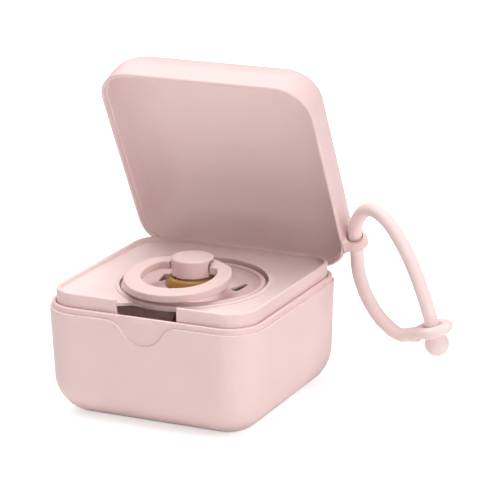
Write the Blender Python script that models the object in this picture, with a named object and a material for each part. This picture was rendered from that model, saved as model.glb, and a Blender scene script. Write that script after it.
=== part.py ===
"""Pacifier sterilizer case, modelled as the moulded pieces that it is assembled from.

A square base with soft corners holds a lift-out tray. A round dish in the tray carries one
pacifier, nipple down, and a domed lid on a rear hinge closes over it. A silicone strap runs
through an eye on the lid's side and closes into a carrying loop with a ball and an eye ring.

Units are metres, +Z is up, the front faces -Y and the origin is the middle of the underside.
The case is shown open, as it stands when someone puts the pacifier in or takes it out.
"""

import math

import bmesh
import bpy
from mathutils import Matrix, Vector

# Overall sizes of the closed case
CASE_HALF = 0.0390            # half the width and the depth at the parting line
CORNER_RADIUS = 0.01255       # plan radius of the case's upright corners
BASE_HEIGHT = 0.0390          # top edge of the base
CLEARANCE = 0.0003            # air between pieces that touch in the real case
OVERRUN = 0.0020              # how far a cutter runs past what it cuts

# Base shell
BAND_HEIGHT = 0.0019          # recessed band under the rim, which the lid covers
BAND_INSET = 0.0008
STEP_HEIGHT = BASE_HEIGHT - BAND_HEIGHT    # ledge that the lid's edge comes down to
BASE_DRAFT = 0.0011           # how much each side leans in from the ledge to the table
BASE_FOOT_RADIUS = 0.0120     # sideways reach of the big round at the bottom edge
BASE_FOOT_RISE = 0.0130       # height of the same round
RIM_WALL = 0.0013             # wall round the tray
RIM_ROUND = 0.0003            # broken top edge of the rim
TRAY_SEAT_DEPTH = 0.0050      # ledge inside the wall that the tray stands on, below the rim
TRAY_SEAT_HEIGHT = BASE_HEIGHT - TRAY_SEAT_DEPTH
BASE_WALL = 0.0028            # wall below the tray's seat
BASE_FLOOR = 0.0024           # height of the inside floor
BASE_INNER_ROUND = 0.0095     # round between the wall and the floor inside
BASE_END_RADIUS = 0.0030      # plan radius left where the bottom round meets the flat

# Thumb scoop and catch on the base's front
SCOOP_HALF = 0.0127
SCOOP_DEPTH = 0.0075          # how far the scoop dips below the ledge
SCOOP_ROUND = 0.0083          # radius of its bottom, before it swings out to the ledge
SCOOP_LAND = 0.00005          # skin left in front of the band, so that the two faces stay apart
SCOOP_LEAD = 0.0002           # the scoop's curve starts this far above the ledge
CATCH_HALF = 0.0035
CATCH_HEIGHT = 0.0015
CATCH_DROP = 0.0001           # top of the catch below the rim
CATCH_REACH = 0.0005          # how far the catch stands out of the band
CATCH_ROOT = 0.0004           # how deep the catch is let into the band
CATCH_RELIEF = 0.0005         # sideways room round the catch in the lid

# Lid shell, measured in its closed position
LID_DEPTH = 0.0205            # from the lid's edge to its top
LID_DRAFT = 0.0009
LID_CORNER_RADIUS = 0.0123
LID_ROUND = 0.0140            # big round at the top edge
LID_END_RADIUS = 0.0040       # plan radius left where the round meets the flat top
LID_LIP_WALL = 0.00115        # thin wall that comes down over the base's band
LID_HALF = CASE_HALF - BAND_INSET + CLEARANCE + LID_LIP_WALL
LID_FOOT = STEP_HEIGHT + CLEARANCE
LID_LIP_DEPTH = 0.0020        # height of that thin wall, up to the inside ledge
LID_WALL = 0.00175
LID_EDGE_ROUND = 0.0004
LID_OPEN_DEG = 63.5

# Hinge at the rear
HINGE_STAND = 0.0013          # hinge line behind the case's rear side
HINGE_DROP = 0.0008           # and below the ledge
HINGE_Y = CASE_HALF + HINGE_STAND
HINGE_Z = STEP_HEIGHT - HINGE_DROP
KNUCKLE_RADIUS = 0.0021
KNUCKLE_HALF = 0.0080         # half the length of the base's middle knuckle
LID_KNUCKLE_LENGTH = 0.0062
PIN_RADIUS = 0.0010
PIN_PLAY = 0.00012            # air round the pin in its bore
PIN_END_INSET = 0.0004        # how far the pin's ends lie inside the outer knuckles
KNUCKLE_WEB_RISE = 0.0055     # how far each knuckle's web runs along its own wall
KNUCKLE_WEB_SHOULDER = 0.0009
BASE_WEB_ROOT = 0.0014        # how deep the base's web is let into its wall
LID_WEB_ROOT = 0.0010         # and the lid's into its own

# Strap eye on the lid's right side, in the lid's closed position
EYE_STAND = 0.00275           # hole's middle outside the lid's side
EYE_AHEAD = 0.0121            # and in front of the hinge line
EYE_RISE = 0.0040             # and above the lid's edge
EYE_X = LID_HALF + EYE_STAND
EYE_Y = HINGE_Y - EYE_AHEAD
EYE_Z = LID_FOOT + EYE_RISE
EYE_HOLE_PLAY = 0.0006        # air round the strap, which passes the hole at a slant
EYE_WALL = 0.0012
EYE_HALF_THICKNESS = 0.0018
EYE_FLARE = 0.0007            # how much the eye widens where it meets the lid
EYE_ROOT = 0.0009             # how deep the eye is let into the lid's wall
EYE_EDGE_ROUND = 0.0006

# Tray
TRAY_INSET = 0.0024           # tray's side inside the case's side
TRAY_CORNER_RADIUS = 0.0100
TRAY_RISE = 0.0046            # tray's top edge above the base's
TRAY_TOP = BASE_HEIGHT + TRAY_RISE
TRAY_WALL = 0.0013
TRAY_EDGE_ROUND = 0.0004
PLATE_EDGE_DROP = 0.0015      # plate below the tray's top edge, where the two meet
PLATE_EDGE_HEIGHT = TRAY_TOP - PLATE_EDGE_DROP
PLATE_WALL = 0.0010
DISH_Y = -0.0010
DISH_LIP_RADIUS = 0.0256      # inside of the dish's raised lip
DISH_LIP_WALL = 0.0013
DISH_LIP_DROP = 0.0021        # lip below the tray's top edge
DISH_LIP_HEIGHT = TRAY_TOP - DISH_LIP_DROP
DISH_LIP_ROUND = 0.0003
DISH_LIP_STAND = 0.0007       # lip above the plate round it
PLATE_DISH_HEIGHT = DISH_LIP_HEIGHT - DISH_LIP_STAND
DISH_WALL_DRAFT = 0.0010      # how much the dish narrows down to its ledge
DISH_LEDGE_FALL = 0.0002      # how far the ledge falls to the open middle
DISH_LEDGE_RADIUS = 0.0218    # ledge's inner edge, where the pacifier's bead just stands on it
DISH_COLLAR_DEPTH = 0.0027    # dish's outer wall, from the lip's top to its foot
DISH_COLLAR_FLARE = 0.0015    # slant between that foot and the plate's underside
DISH_UNDERCUT = 0.0025        # slant between that foot and the ledge's underside
NOTCH_HALF = 0.0110
NOTCH_RISE = 0.0030           # notch's floor above the tray's seat
NOTCH_TRIM = 0.0002           # skin that the notch takes off the dish's outer wall
NOTCH_ROUND = 0.0040          # round where the notch's sides meet the dish

# Pacifier, its heights measured from the top of the shield's bead
SHIELD_DROP = 0.0004          # bead's top below the dish's lip
SHIELD_TOP = DISH_LIP_HEIGHT - SHIELD_DROP
SHIELD_PLAY = 0.0008          # air between the shield and the dish's lip
SHIELD_RADIUS = DISH_LIP_RADIUS - SHIELD_PLAY
SHIELD_BEAD_RADIUS = 0.0012
SHIELD_WALL = 0.0013
SHIELD_BOWL_RADIUS = 0.0205   # where the bowl begins inside the bead
SHIELD_BOWL_DEPTH = 0.0017
SHIELD_LOW_RADIUS = 0.0150
SHIELD_LOW_DEPTH = 0.0025
SHIELD_BOSS_RADIUS = 0.0096
SHIELD_BOSS_DEPTH = 0.0012
VENT_LENGTH = 0.0080
VENT_WIDTH = 0.0026
VENT_ASIDE = 0.0138           # vent's middle beside the shield's
VENT_BEHIND = 0.0065          # and behind it
VENT_LEAN_DEG = 10.0          # how far the vent's rear end leans outwards

KNOB_FORE = 0.0003            # knob's middle behind the shield's
KNOB_RADIUS = 0.0072
KNOB_FOOT = 0.0026            # knob's underside above the bead
KNOB_HEIGHT = 0.0061
KNOB_EDGE_ROUND = 0.0008
KNOB_ROOF = 0.0010            # plastic left over the ring's channel
KNOB_SPIGOT_RADIUS = 0.0059
KNOB_SPIGOT_LENGTH = 0.0025
KNOB_CHANNEL_FRONT = 0.0031   # channel's reach in front of the ring's pivot, at mid height
KNOB_CHANNEL_RADIUS = 0.00535 # its round back and floor, about the pivot
KNOB_ARCH_START = 0.0060      # where the roof arches up towards each side
KNOB_ARCH_RISE = 0.0004
KNOB_STEM_RADIUS = 0.0030
KNOB_STEM_LENGTH = 0.0062
KNOB_TOP = KNOB_FOOT + KNOB_HEIGHT
KNOB_SPIGOT_BOTTOM = KNOB_FOOT - KNOB_SPIGOT_LENGTH

NIPPLE_FLANGE_RADIUS = 0.0091
NIPPLE_FLANGE_FALL = 0.0007   # flange's fall towards the knob's spigot, where the ring swings past
NIPPLE_NECK_RADIUS = 0.0047
NIPPLE_BULB_RADIUS = 0.0084
NIPPLE_LENGTH = 0.0277        # from the shield's boss to the tip
NIPPLE_WALL = 0.0011
SHIELD_HOLE_RADIUS = NIPPLE_NECK_RADIUS + CLEARANCE

RING_RADIUS = 0.0152          # middle of the ring's section
RING_WIDTH = 0.0059
RING_THICKNESS = 0.0028
RING_SECTION_ROUND = 0.0004
RING_WAIST_INSIDE = 0.0005    # how much the bar in the knob gives way on the ring's inside
RING_WAIST_OUTSIDE = 0.00105  # and on its outside, where it swings past the flange
RING_WAIST_DEG = 36.0         # how far the waist runs to each side of the knob
RING_FULL_DEG = 52.0          # from where the ring has its full width
RING_PIVOT_BACK = 0.0009      # ring's pivot behind the knob's middle
RING_PIVOT_RISE = 0.0035      # and above the knob's underside
RING_REACH = 0.0029           # full section's middle behind the pivot, in the ring's own plane
RING_DROP = 0.00065           # section's middle below the pivot, square to that plane
RING_TILT_DEG = 5.8

# Strap, its route measured from the middle of the eye with the lid open
STRAP_RADIUS = 0.0024
STRAP_SPACING = 0.0052        # distance between points of the cord's centre line
STRAP_ROUTE = [
    (0.0248, -0.0130, -0.0269), (0.0219, -0.0126, -0.0275), (0.0189, -0.0116, -0.0268),
    (0.0157, -0.0101, -0.0254), (0.0123, -0.0082, -0.0237), (0.0090, -0.0060, -0.0213),
    (0.0062, -0.0040, -0.0189), (0.0038, -0.0021, -0.0160), (0.0018, -0.0005, -0.0127),
    (0.0005, 0.0006, -0.0089), (0.0001, 0.0011, -0.0051), (0.0000, 0.0001, 0.0000),
    (0.0005, -0.0015, 0.0042), (0.0019, -0.0032, 0.0077), (0.0042, -0.0051, 0.0112),
    (0.0069, -0.0068, 0.0133), (0.0097, -0.0082, 0.0140), (0.0127, -0.0095, 0.0134),
    (0.0154, -0.0105, 0.0118), (0.0179, -0.0113, 0.0098), (0.0216, -0.0124, 0.0054),
    (0.0255, -0.0132, -0.0008), (0.0282, -0.0135, -0.0065), (0.0307, -0.0134, -0.0131),
    (0.0321, -0.0132, -0.0175), (0.0339, -0.0128, -0.0245),
]
STRAP_STUB = 0.0050           # length of the strap's end that is one with the eye ring
BALL_RADIUS = 0.0042
BALL_DROP = 0.0053            # ball's middle below the eye ring's
EYE_RING_RADIUS = 0.0068
EYE_RING_PLAY = 0.0005        # air round the strap in the eye ring
EYE_RING_THICKNESS = 0.0036
EYE_RING_EDGE = 0.0012

# Facet counts
CORNER_STEPS = 8
SIDE_STEPS = 4
ROUND_STEPS = 7
TURN_STEPS = 48
FINE_TURN_STEPS = 24
RING_STEPS = 60
SECTION_STEPS = 3
CORD_BEVEL = 3
CORNER_SWEEP_DEG = 52.0       # share of the round dish that follows each corner of the tray


def clear_scene():
    for item in list(bpy.data.objects):
        bpy.data.objects.remove(item, do_unlink=True)


def plastic(name, colour, roughness):
    material = bpy.data.materials.new(name)
    material.use_nodes = True
    shader = material.node_tree.nodes["Principled BSDF"]
    shader.inputs["Base Color"].default_value = (*colour, 1.0)
    shader.inputs["Roughness"].default_value = roughness
    shader.inputs["Metallic"].default_value = 0.0
    material.diffuse_color = (*colour, 1.0)
    return material


def mix(low, high, share):
    return low + (high - low) * share


def square_ring(half, radius, height, side_steps=1):
    """Points of a rounded square at one height, corner by corner."""
    centre = half - radius
    corners = [(1, 1), (-1, 1), (-1, -1), (1, -1)]
    points = []
    for number, (side_x, side_y) in enumerate(corners):
        for step in range(CORNER_STEPS + 1):
            angle = math.radians(90.0 * (number + step / CORNER_STEPS))
            points.append(Vector((side_x * centre + radius * math.cos(angle),
                                  side_y * centre + radius * math.sin(angle), height)))
        next_x, next_y = corners[(number + 1) % 4]
        start = points[-1]
        angle = math.radians(90.0 * (number + 1))
        end = Vector((next_x * centre + radius * math.cos(angle),
                      next_y * centre + radius * math.sin(angle), height))
        for step in range(1, side_steps):
            points.append(start.lerp(end, step / side_steps))
    return points


def dish_ring(radius, height):
    """A circle with as many points as the tray's square rings, each facing its partner."""
    rest_sweep = 90.0 - CORNER_SWEEP_DEG
    points = []
    for number in range(4):
        first = 90.0 * number + 45.0 - CORNER_SWEEP_DEG / 2
        angles = [first + CORNER_SWEEP_DEG * step / CORNER_STEPS for step in range(CORNER_STEPS + 1)]
        angles += [first + CORNER_SWEEP_DEG + rest_sweep * step / SIDE_STEPS
                   for step in range(1, SIDE_STEPS)]
        for angle in angles:
            turn = math.radians(angle)
            points.append(Vector((radius * math.cos(turn), DISH_Y + radius * math.sin(turn), height)))
    return points


def circle_ring(radius, height, steps):
    if radius == 0.0:
        return [Vector((0.0, 0.0, height))]
    turns = [math.tau * step / steps for step in range(steps)]
    return [Vector((radius * math.cos(turn), radius * math.sin(turn), height)) for turn in turns]


def loft(name, rings, closed=False):
    """Skins rings of points in order; a ring of one point is a pole, and open ends are capped."""
    form = bmesh.new()
    loops = [[form.verts.new(point) for point in ring] for ring in rings]
    pairs = list(zip(loops[:-1], loops[1:]))
    if closed:
        pairs.append((loops[-1], loops[0]))
    for low, high in pairs:
        count = max(len(low), len(high))
        for index in range(count):
            following = (index + 1) % count
            corners = [low[index % len(low)], low[following % len(low)],
                       high[following % len(high)], high[index % len(high)]]
            face = list(dict.fromkeys(corners))
            if len(face) > 2:
                form.faces.new(face)
    if not closed:
        for loop in (loops[0], loops[-1]):
            if len(loop) > 2:
                form.faces.new(loop)
    bmesh.ops.recalc_face_normals(form, faces=form.faces[:])
    mesh = bpy.data.meshes.new(name)
    form.to_mesh(mesh)
    form.free()
    mesh.shade_smooth()
    mesh.set_sharp_from_angle(angle=math.radians(32.0))
    return mesh


def turned(name, profile, steps=TURN_STEPS, closed=False):
    """Turns a profile of (radius, height) points about Z."""
    return loft(name, [circle_ring(radius, height, steps) for radius, height in profile], closed)


def prism(name, outline, start, end):
    """Runs an outline of (y, z) points along X."""
    return loft(name, [[Vector((place, y, z)) for y, z in outline] for place in (start, end)])


def rod_along_x(name, radius, start, end, steps=TURN_STEPS):
    outline = [(radius * math.cos(math.tau * step / steps), radius * math.sin(math.tau * step / steps))
               for step in range(steps)]
    return prism(name, outline, start, end)


def arc(centre_x, centre_z, radius, first_deg, last_deg, steps):
    """Points of an arc in a plane, both ends included."""
    angles = [math.radians(mix(first_deg, last_deg, step / steps)) for step in range(steps + 1)]
    return [(centre_x + radius * math.cos(a), centre_z + radius * math.sin(a)) for a in angles]


def empty(name, location, rotation=(0.0, 0.0, 0.0), parent=None):
    item = bpy.data.objects.new(name, None)
    item.location = location
    item.rotation_euler = rotation
    item.parent = parent
    bpy.context.scene.collection.objects.link(item)
    return item


def put(mesh, material=None, location=(0.0, 0.0, 0.0), parent=None):
    """Makes the object of a piece; its name is the mesh's."""
    item = bpy.data.objects.new(mesh.name, mesh)
    item.location = location
    item.parent = parent
    if material is not None:
        mesh.materials.append(material)
    bpy.context.scene.collection.objects.link(item)
    return item


def shape(target, tool_mesh, operation, location=(0.0, 0.0, 0.0)):
    """Joins a tool to a piece or cuts it away; the tool stays beside the piece as a wire."""
    tool = put(tool_mesh, None, location, target.parent)
    tool.hide_render = True
    tool.display_type = "WIRE"
    step = target.modifiers.new(tool_mesh.name, "BOOLEAN")
    step.object = tool
    step.operation = operation
    step.solver = "EXACT"


def base_side(height):
    """Half the base's outer width at a height, above its bottom round."""
    return CASE_HALF - BASE_DRAFT * (STEP_HEIGHT - height) / STEP_HEIGHT


def base_rings():
    band = CASE_HALF - BAND_INSET
    band_radius = CORNER_RADIUS - BAND_INSET
    rings = []
    for step in range(ROUND_STEPS + 1):
        turn = math.radians(90.0 * step / ROUND_STEPS)
        lean = 1.0 - math.sin(turn)
        rise = BASE_FOOT_RISE * (1.0 - math.cos(turn))
        half = base_side(rise) - BASE_FOOT_RADIUS * lean
        rings.append(square_ring(half, mix(CORNER_RADIUS, BASE_END_RADIUS, lean), rise))
    rings += [
        square_ring(CASE_HALF, CORNER_RADIUS, STEP_HEIGHT),
        square_ring(band, band_radius, STEP_HEIGHT),
        square_ring(band, band_radius, BASE_HEIGHT - RIM_ROUND),
        square_ring(band - RIM_ROUND, band_radius - RIM_ROUND, BASE_HEIGHT),
        square_ring(band - RIM_WALL + RIM_ROUND, band_radius - RIM_WALL + RIM_ROUND, BASE_HEIGHT),
        square_ring(band - RIM_WALL, band_radius - RIM_WALL, BASE_HEIGHT - RIM_ROUND),
        square_ring(band - RIM_WALL, band_radius - RIM_WALL, TRAY_SEAT_HEIGHT),
        square_ring(base_side(TRAY_SEAT_HEIGHT) - BASE_WALL, CORNER_RADIUS - BASE_WALL, TRAY_SEAT_HEIGHT),
    ]
    for step in range(ROUND_STEPS + 1):
        turn = math.radians(90.0 * step / ROUND_STEPS)
        lean = 1.0 - math.cos(turn)
        rise = BASE_FLOOR + BASE_INNER_ROUND * (1.0 - math.sin(turn))
        half = base_side(rise) - BASE_WALL - BASE_INNER_ROUND * lean
        rings.append(square_ring(half, mix(CORNER_RADIUS - BASE_WALL, BASE_END_RADIUS, lean), rise))
    return rings


def scoop_mesh():
    """The dip under the front ledge, as the space in front of the recessed band.

    A round bottom swings out through two reverse arcs that end level with the ledge.
    """
    top = STEP_HEIGHT + SCOOP_LEAD
    depth = SCOOP_DEPTH + SCOOP_LEAD
    both = (SCOOP_HALF ** 2 + depth ** 2) / (2 * depth)
    shoulder = both - SCOOP_ROUND
    lean = math.degrees(math.asin(SCOOP_HALF / both))
    left = arc(-SCOOP_HALF, top - shoulder, shoulder, 90.0, 90.0 - lean, ROUND_STEPS)
    bottom = arc(0.0, top - depth + SCOOP_ROUND, SCOOP_ROUND, lean + 270.0, 270.0 - lean, 2 * ROUND_STEPS)
    right = arc(SCOOP_HALF, top - shoulder, shoulder, 90.0 + lean, 90.0, ROUND_STEPS)
    outline = [*left, *reversed(bottom[1:-1]), *right,
               (SCOOP_HALF, STEP_HEIGHT + OVERRUN), (-SCOOP_HALF, STEP_HEIGHT + OVERRUN)]
    front = -CASE_HALF - OVERRUN
    back = -(CASE_HALF - BAND_INSET + SCOOP_LAND)
    return loft("scoop_cut", [[Vector((x, place, z)) for x, z in outline] for place in (front, back)])


def catch_mesh():
    """The wedge that holds the lid shut, with its lead-in ramp on top."""
    band = -(CASE_HALF - BAND_INSET)
    top = BASE_HEIGHT - RIM_ROUND - CATCH_DROP
    bottom = top - CATCH_HEIGHT
    outline = [(band + CATCH_ROOT, top), (band - CATCH_DROP, top),
               (band - CATCH_REACH, bottom + CATCH_REACH), (band - CATCH_REACH, bottom),
               (band + CATCH_ROOT, bottom)]
    return prism("catch_form", outline, -CATCH_HALF, CATCH_HALF)


def groove_mesh(name):
    """Room for the hinge's knuckles, cut in the rear wall of both shells."""
    half = KNUCKLE_HALF + LID_KNUCKLE_LENGTH + 2 * CLEARANCE
    return rod_along_x(name, KNUCKLE_RADIUS + CLEARANCE, -half, half)


def base_web_outline():
    wall = base_side(HINGE_Z - KNUCKLE_WEB_RISE) - HINGE_Y
    root = CASE_HALF - BASE_WEB_ROOT - HINGE_Y
    return [(0.0, 0.0), (KNUCKLE_RADIUS, 0.0), (KNUCKLE_RADIUS, -KNUCKLE_WEB_SHOULDER),
            (wall, -KNUCKLE_WEB_RISE), (root, -KNUCKLE_WEB_RISE), (root, 0.0)]


def lid_web_outline():
    foot = LID_FOOT - HINGE_Z
    top = foot + KNUCKLE_WEB_RISE
    wall = LID_HALF - LID_DRAFT * KNUCKLE_WEB_RISE / LID_DEPTH - HINGE_Y
    root = LID_HALF - LID_WEB_ROOT - HINGE_Y
    return [(0.0, 0.0), (KNUCKLE_RADIUS, 0.0), (KNUCKLE_RADIUS, KNUCKLE_WEB_SHOULDER),
            (wall, top), (root, top), (root, foot)]


def build_base(material):
    base = put(loft("base_shell", base_rings()), material)
    hinge = (0.0, HINGE_Y, HINGE_Z)
    bore_half = KNUCKLE_HALF + OVERRUN
    shape(base, scoop_mesh(), "DIFFERENCE")
    shape(base, catch_mesh(), "UNION")
    shape(base, groove_mesh("base_hinge_groove"), "DIFFERENCE", hinge)
    shape(base, rod_along_x("base_knuckle", KNUCKLE_RADIUS, -KNUCKLE_HALF, KNUCKLE_HALF), "UNION", hinge)
    shape(base, prism("base_knuckle_web", base_web_outline(), -KNUCKLE_HALF, KNUCKLE_HALF), "UNION", hinge)
    shape(base, rod_along_x("base_bore", PIN_RADIUS + PIN_PLAY, -bore_half, bore_half, FINE_TURN_STEPS),
          "DIFFERENCE", hinge)
    return base


def build_pin(material):
    half = KNUCKLE_HALF + CLEARANCE + LID_KNUCKLE_LENGTH - PIN_END_INSET
    return put(rod_along_x("hinge_pin", PIN_RADIUS, -half, half, FINE_TURN_STEPS), material,
               (0.0, HINGE_Y, HINGE_Z))


def lid_rings():
    """The lid's skin, from the middle of its top, down its outside and up its inside."""
    top = LID_FOOT + LID_DEPTH
    round_foot = top - LID_ROUND
    rings = []
    for step in range(ROUND_STEPS + 1):
        turn = math.radians(90.0 * step / ROUND_STEPS)
        lean = 1.0 - math.sin(turn)
        height = round_foot + LID_ROUND * math.cos(turn)
        half = LID_HALF - LID_DRAFT * (height - LID_FOOT) / LID_DEPTH - LID_ROUND * lean
        rings.append(square_ring(half, mix(LID_CORNER_RADIUS, LID_END_RADIUS, lean), height))
    lip = LID_HALF - LID_LIP_WALL
    lip_radius = LID_CORNER_RADIUS - LID_LIP_WALL
    ledge = LID_FOOT + LID_LIP_DEPTH
    wall_radius = LID_CORNER_RADIUS - LID_WALL
    rings += [
        square_ring(LID_HALF, LID_CORNER_RADIUS, LID_FOOT + LID_EDGE_ROUND),
        square_ring(LID_HALF - LID_EDGE_ROUND, LID_CORNER_RADIUS - LID_EDGE_ROUND, LID_FOOT),
        square_ring(lip, lip_radius, LID_FOOT),
        square_ring(lip, lip_radius, ledge),
        square_ring(LID_HALF - LID_WALL, wall_radius, ledge),
    ]
    inner_round = LID_ROUND - LID_WALL
    for step in range(ROUND_STEPS + 1):
        turn = math.radians(90.0 * step / ROUND_STEPS)
        lean = 1.0 - math.cos(turn)
        height = round_foot + inner_round * math.sin(turn)
        half = LID_HALF - LID_WALL - LID_DRAFT * (height - LID_FOOT) / LID_DEPTH - inner_round * lean
        rings.append(square_ring(half, mix(wall_radius, LID_END_RADIUS, lean), height))
    return rings


def eye_mesh():
    """The strap's eye: a rounded tongue on the lid's side, before its hole is cut."""
    reach = STRAP_RADIUS + EYE_HOLE_PLAY + EYE_WALL
    root = LID_HALF - EYE_ROOT
    rings = []
    for side, inset in ((-1, 0.0), (-1, EYE_EDGE_ROUND), (1, EYE_EDGE_ROUND), (1, 0.0)):
        tip = EYE_Y + side * (EYE_HALF_THICKNESS - inset)
        foot = tip + side * EYE_FLARE
        outline = arc(EYE_X, EYE_Z, reach - EYE_EDGE_ROUND + inset, -90.0, 90.0, FINE_TURN_STEPS // 2)
        ring = [Vector((x, tip, z)) for x, z in outline]
        ring += [Vector((root, foot, ring[-1].z)), Vector((root, foot, ring[0].z))]
        rings.append(ring)
    return loft("strap_eye_form", rings)


def build_lid(material):
    pivot = empty("lid_pivot", (0.0, HINGE_Y, HINGE_Z), (math.radians(-LID_OPEN_DEG), 0.0, 0.0))
    to_pivot = Matrix.Translation((0.0, -HINGE_Y, -HINGE_Z))
    shell = loft("lid_shell", lid_rings())
    shell.transform(to_pivot)
    lid = put(shell, material, parent=pivot)
    knuckle_start = KNUCKLE_HALF + CLEARANCE
    knuckle_end = knuckle_start + LID_KNUCKLE_LENGTH
    shape(lid, groove_mesh("lid_hinge_groove"), "DIFFERENCE")
    for side, start, end in (("left", -knuckle_end, -knuckle_start), ("right", knuckle_start, knuckle_end)):
        shape(lid, rod_along_x("lid_knuckle_" + side, KNUCKLE_RADIUS, start, end), "UNION")
        shape(lid, prism("lid_knuckle_web_" + side, lid_web_outline(), start, end), "UNION")
    bore_half = knuckle_end + OVERRUN
    shape(lid, rod_along_x("lid_bore", PIN_RADIUS + PIN_PLAY, -bore_half, bore_half, FINE_TURN_STEPS),
          "DIFFERENCE")
    eye = eye_mesh()
    eye.transform(to_pivot)
    shape(lid, eye, "UNION")
    hole_half = EYE_HALF_THICKNESS + OVERRUN
    hole_radius = STRAP_RADIUS + EYE_HOLE_PLAY
    hole = rod_along_x("strap_eye_hole", hole_radius, -hole_half, hole_half, FINE_TURN_STEPS)
    hole.transform(Matrix.Translation((EYE_X, EYE_Y - HINGE_Y, EYE_Z - HINGE_Z))
                   @ Matrix.Rotation(math.radians(90.0), 4, "Z"))
    shape(lid, hole, "DIFFERENCE")
    relief_half = CATCH_HALF + CATCH_RELIEF
    band = CASE_HALF - BAND_INSET
    front = -(band + CATCH_REACH + CLEARANCE) - HINGE_Y
    back = -(LID_HALF - LID_WALL) + OVERRUN - HINGE_Y
    low = LID_FOOT - OVERRUN - HINGE_Z
    high = BASE_HEIGHT - RIM_ROUND - CATCH_DROP + CLEARANCE - HINGE_Z
    relief = [(front, low), (back, low), (back, high), (front, high)]
    shape(lid, prism("catch_relief", relief, -relief_half, relief_half), "DIFFERENCE")
    return pivot


def tray_rings():
    """The tray's skin: up its side, over the rim, down the plate into the dish and back below."""
    side = CASE_HALF - TRAY_INSET
    inner = side - TRAY_WALL
    inner_radius = TRAY_CORNER_RADIUS - TRAY_WALL
    foot = TRAY_SEAT_HEIGHT + CLEARANCE
    lip_outer = DISH_LIP_RADIUS + DISH_LIP_WALL
    ledge_edge = DISH_LIP_RADIUS - DISH_WALL_DRAFT
    ledge_height = SHIELD_TOP - 2 * SHIELD_BEAD_RADIUS - CLEARANCE
    ledge_end = ledge_height - DISH_LEDGE_FALL

    def square(half, radius, height):
        return square_ring(half, radius, height, SIDE_STEPS)

    return [
        square(side, TRAY_CORNER_RADIUS, foot),
        square(side, TRAY_CORNER_RADIUS, TRAY_TOP - TRAY_EDGE_ROUND),
        square(side - TRAY_EDGE_ROUND, TRAY_CORNER_RADIUS - TRAY_EDGE_ROUND, TRAY_TOP),
        square(inner + TRAY_EDGE_ROUND, inner_radius + TRAY_EDGE_ROUND, TRAY_TOP),
        square(inner, inner_radius, TRAY_TOP - TRAY_EDGE_ROUND),
        square(inner, inner_radius, PLATE_EDGE_HEIGHT),
        dish_ring(lip_outer, PLATE_DISH_HEIGHT),
        dish_ring(lip_outer, DISH_LIP_HEIGHT - DISH_LIP_ROUND),
        dish_ring(lip_outer - DISH_LIP_ROUND, DISH_LIP_HEIGHT),
        dish_ring(DISH_LIP_RADIUS + DISH_LIP_ROUND, DISH_LIP_HEIGHT),
        dish_ring(DISH_LIP_RADIUS, DISH_LIP_HEIGHT - DISH_LIP_ROUND),
        dish_ring(ledge_edge, ledge_height),
        dish_ring(DISH_LEDGE_RADIUS, ledge_end),
        dish_ring(DISH_LEDGE_RADIUS, ledge_end - PLATE_WALL),
        dish_ring(lip_outer - DISH_UNDERCUT, ledge_height - PLATE_WALL),
        dish_ring(lip_outer, DISH_LIP_HEIGHT - DISH_COLLAR_DEPTH),
        dish_ring(lip_outer + DISH_COLLAR_FLARE, PLATE_DISH_HEIGHT - PLATE_WALL),
        square(inner, inner_radius, PLATE_EDGE_HEIGHT - PLATE_WALL),
        square(inner, inner_radius, foot),
    ]


def notch_mesh():
    """The gap in the tray's front, from its side back to the round wall of the dish."""
    reach = DISH_LIP_RADIUS + DISH_LIP_WALL - NOTCH_TRIM
    corner_x = NOTCH_HALF - NOTCH_ROUND
    corner_y = DISH_Y - math.sqrt((reach + NOTCH_ROUND) ** 2 - corner_x ** 2)
    meet_deg = math.degrees(math.atan2(DISH_Y - corner_y, corner_x))
    dish = arc(0.0, DISH_Y, reach, meet_deg - 180.0, -meet_deg, FINE_TURN_STEPS)
    left = arc(-corner_x, corner_y, NOTCH_ROUND, 180.0, meet_deg, ROUND_STEPS)
    right = arc(corner_x, corner_y, NOTCH_ROUND, 180.0 - meet_deg, 0.0, ROUND_STEPS)
    front = -(CASE_HALF - TRAY_INSET + OVERRUN)
    outline = [*left[:-1], *dish, *right[1:], (NOTCH_HALF, front), (-NOTCH_HALF, front)]
    heights = (TRAY_SEAT_HEIGHT + NOTCH_RISE, TRAY_TOP + OVERRUN)
    return loft("notch_cut", [[Vector((x, y, height)) for x, y in outline] for height in heights])


def build_tray(material):
    tray = put(loft("inner_tray", tray_rings(), closed=True), material)
    shape(tray, notch_mesh(), "DIFFERENCE")
    return tray


def shield_profile():
    rim = arc(SHIELD_RADIUS - SHIELD_BEAD_RADIUS, -SHIELD_BEAD_RADIUS, SHIELD_BEAD_RADIUS, 165.0, -120.0, 12)
    top = [(SHIELD_HOLE_RADIUS, -SHIELD_BOSS_DEPTH), (SHIELD_BOSS_RADIUS, -SHIELD_BOSS_DEPTH),
           (SHIELD_LOW_RADIUS, -SHIELD_LOW_DEPTH), (SHIELD_BOWL_RADIUS, -SHIELD_BOWL_DEPTH)]
    underside = [(radius, height - SHIELD_WALL) for radius, height in reversed(top)]
    return [*top, *rim, *underside]


def vent_mesh(name):
    """A slot with round ends that runs front to rear through the shield."""
    end = VENT_WIDTH / 2
    straight = VENT_LENGTH / 2 - end
    outline = [*arc(0.0, straight, end, 0.0, 180.0, ROUND_STEPS),
               *arc(0.0, -straight, end, 180.0, 360.0, ROUND_STEPS)]
    heights = (-(SHIELD_LOW_DEPTH + SHIELD_WALL + OVERRUN), OVERRUN)
    return loft(name, [[Vector((x, y, height)) for x, y in outline] for height in heights])


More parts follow.
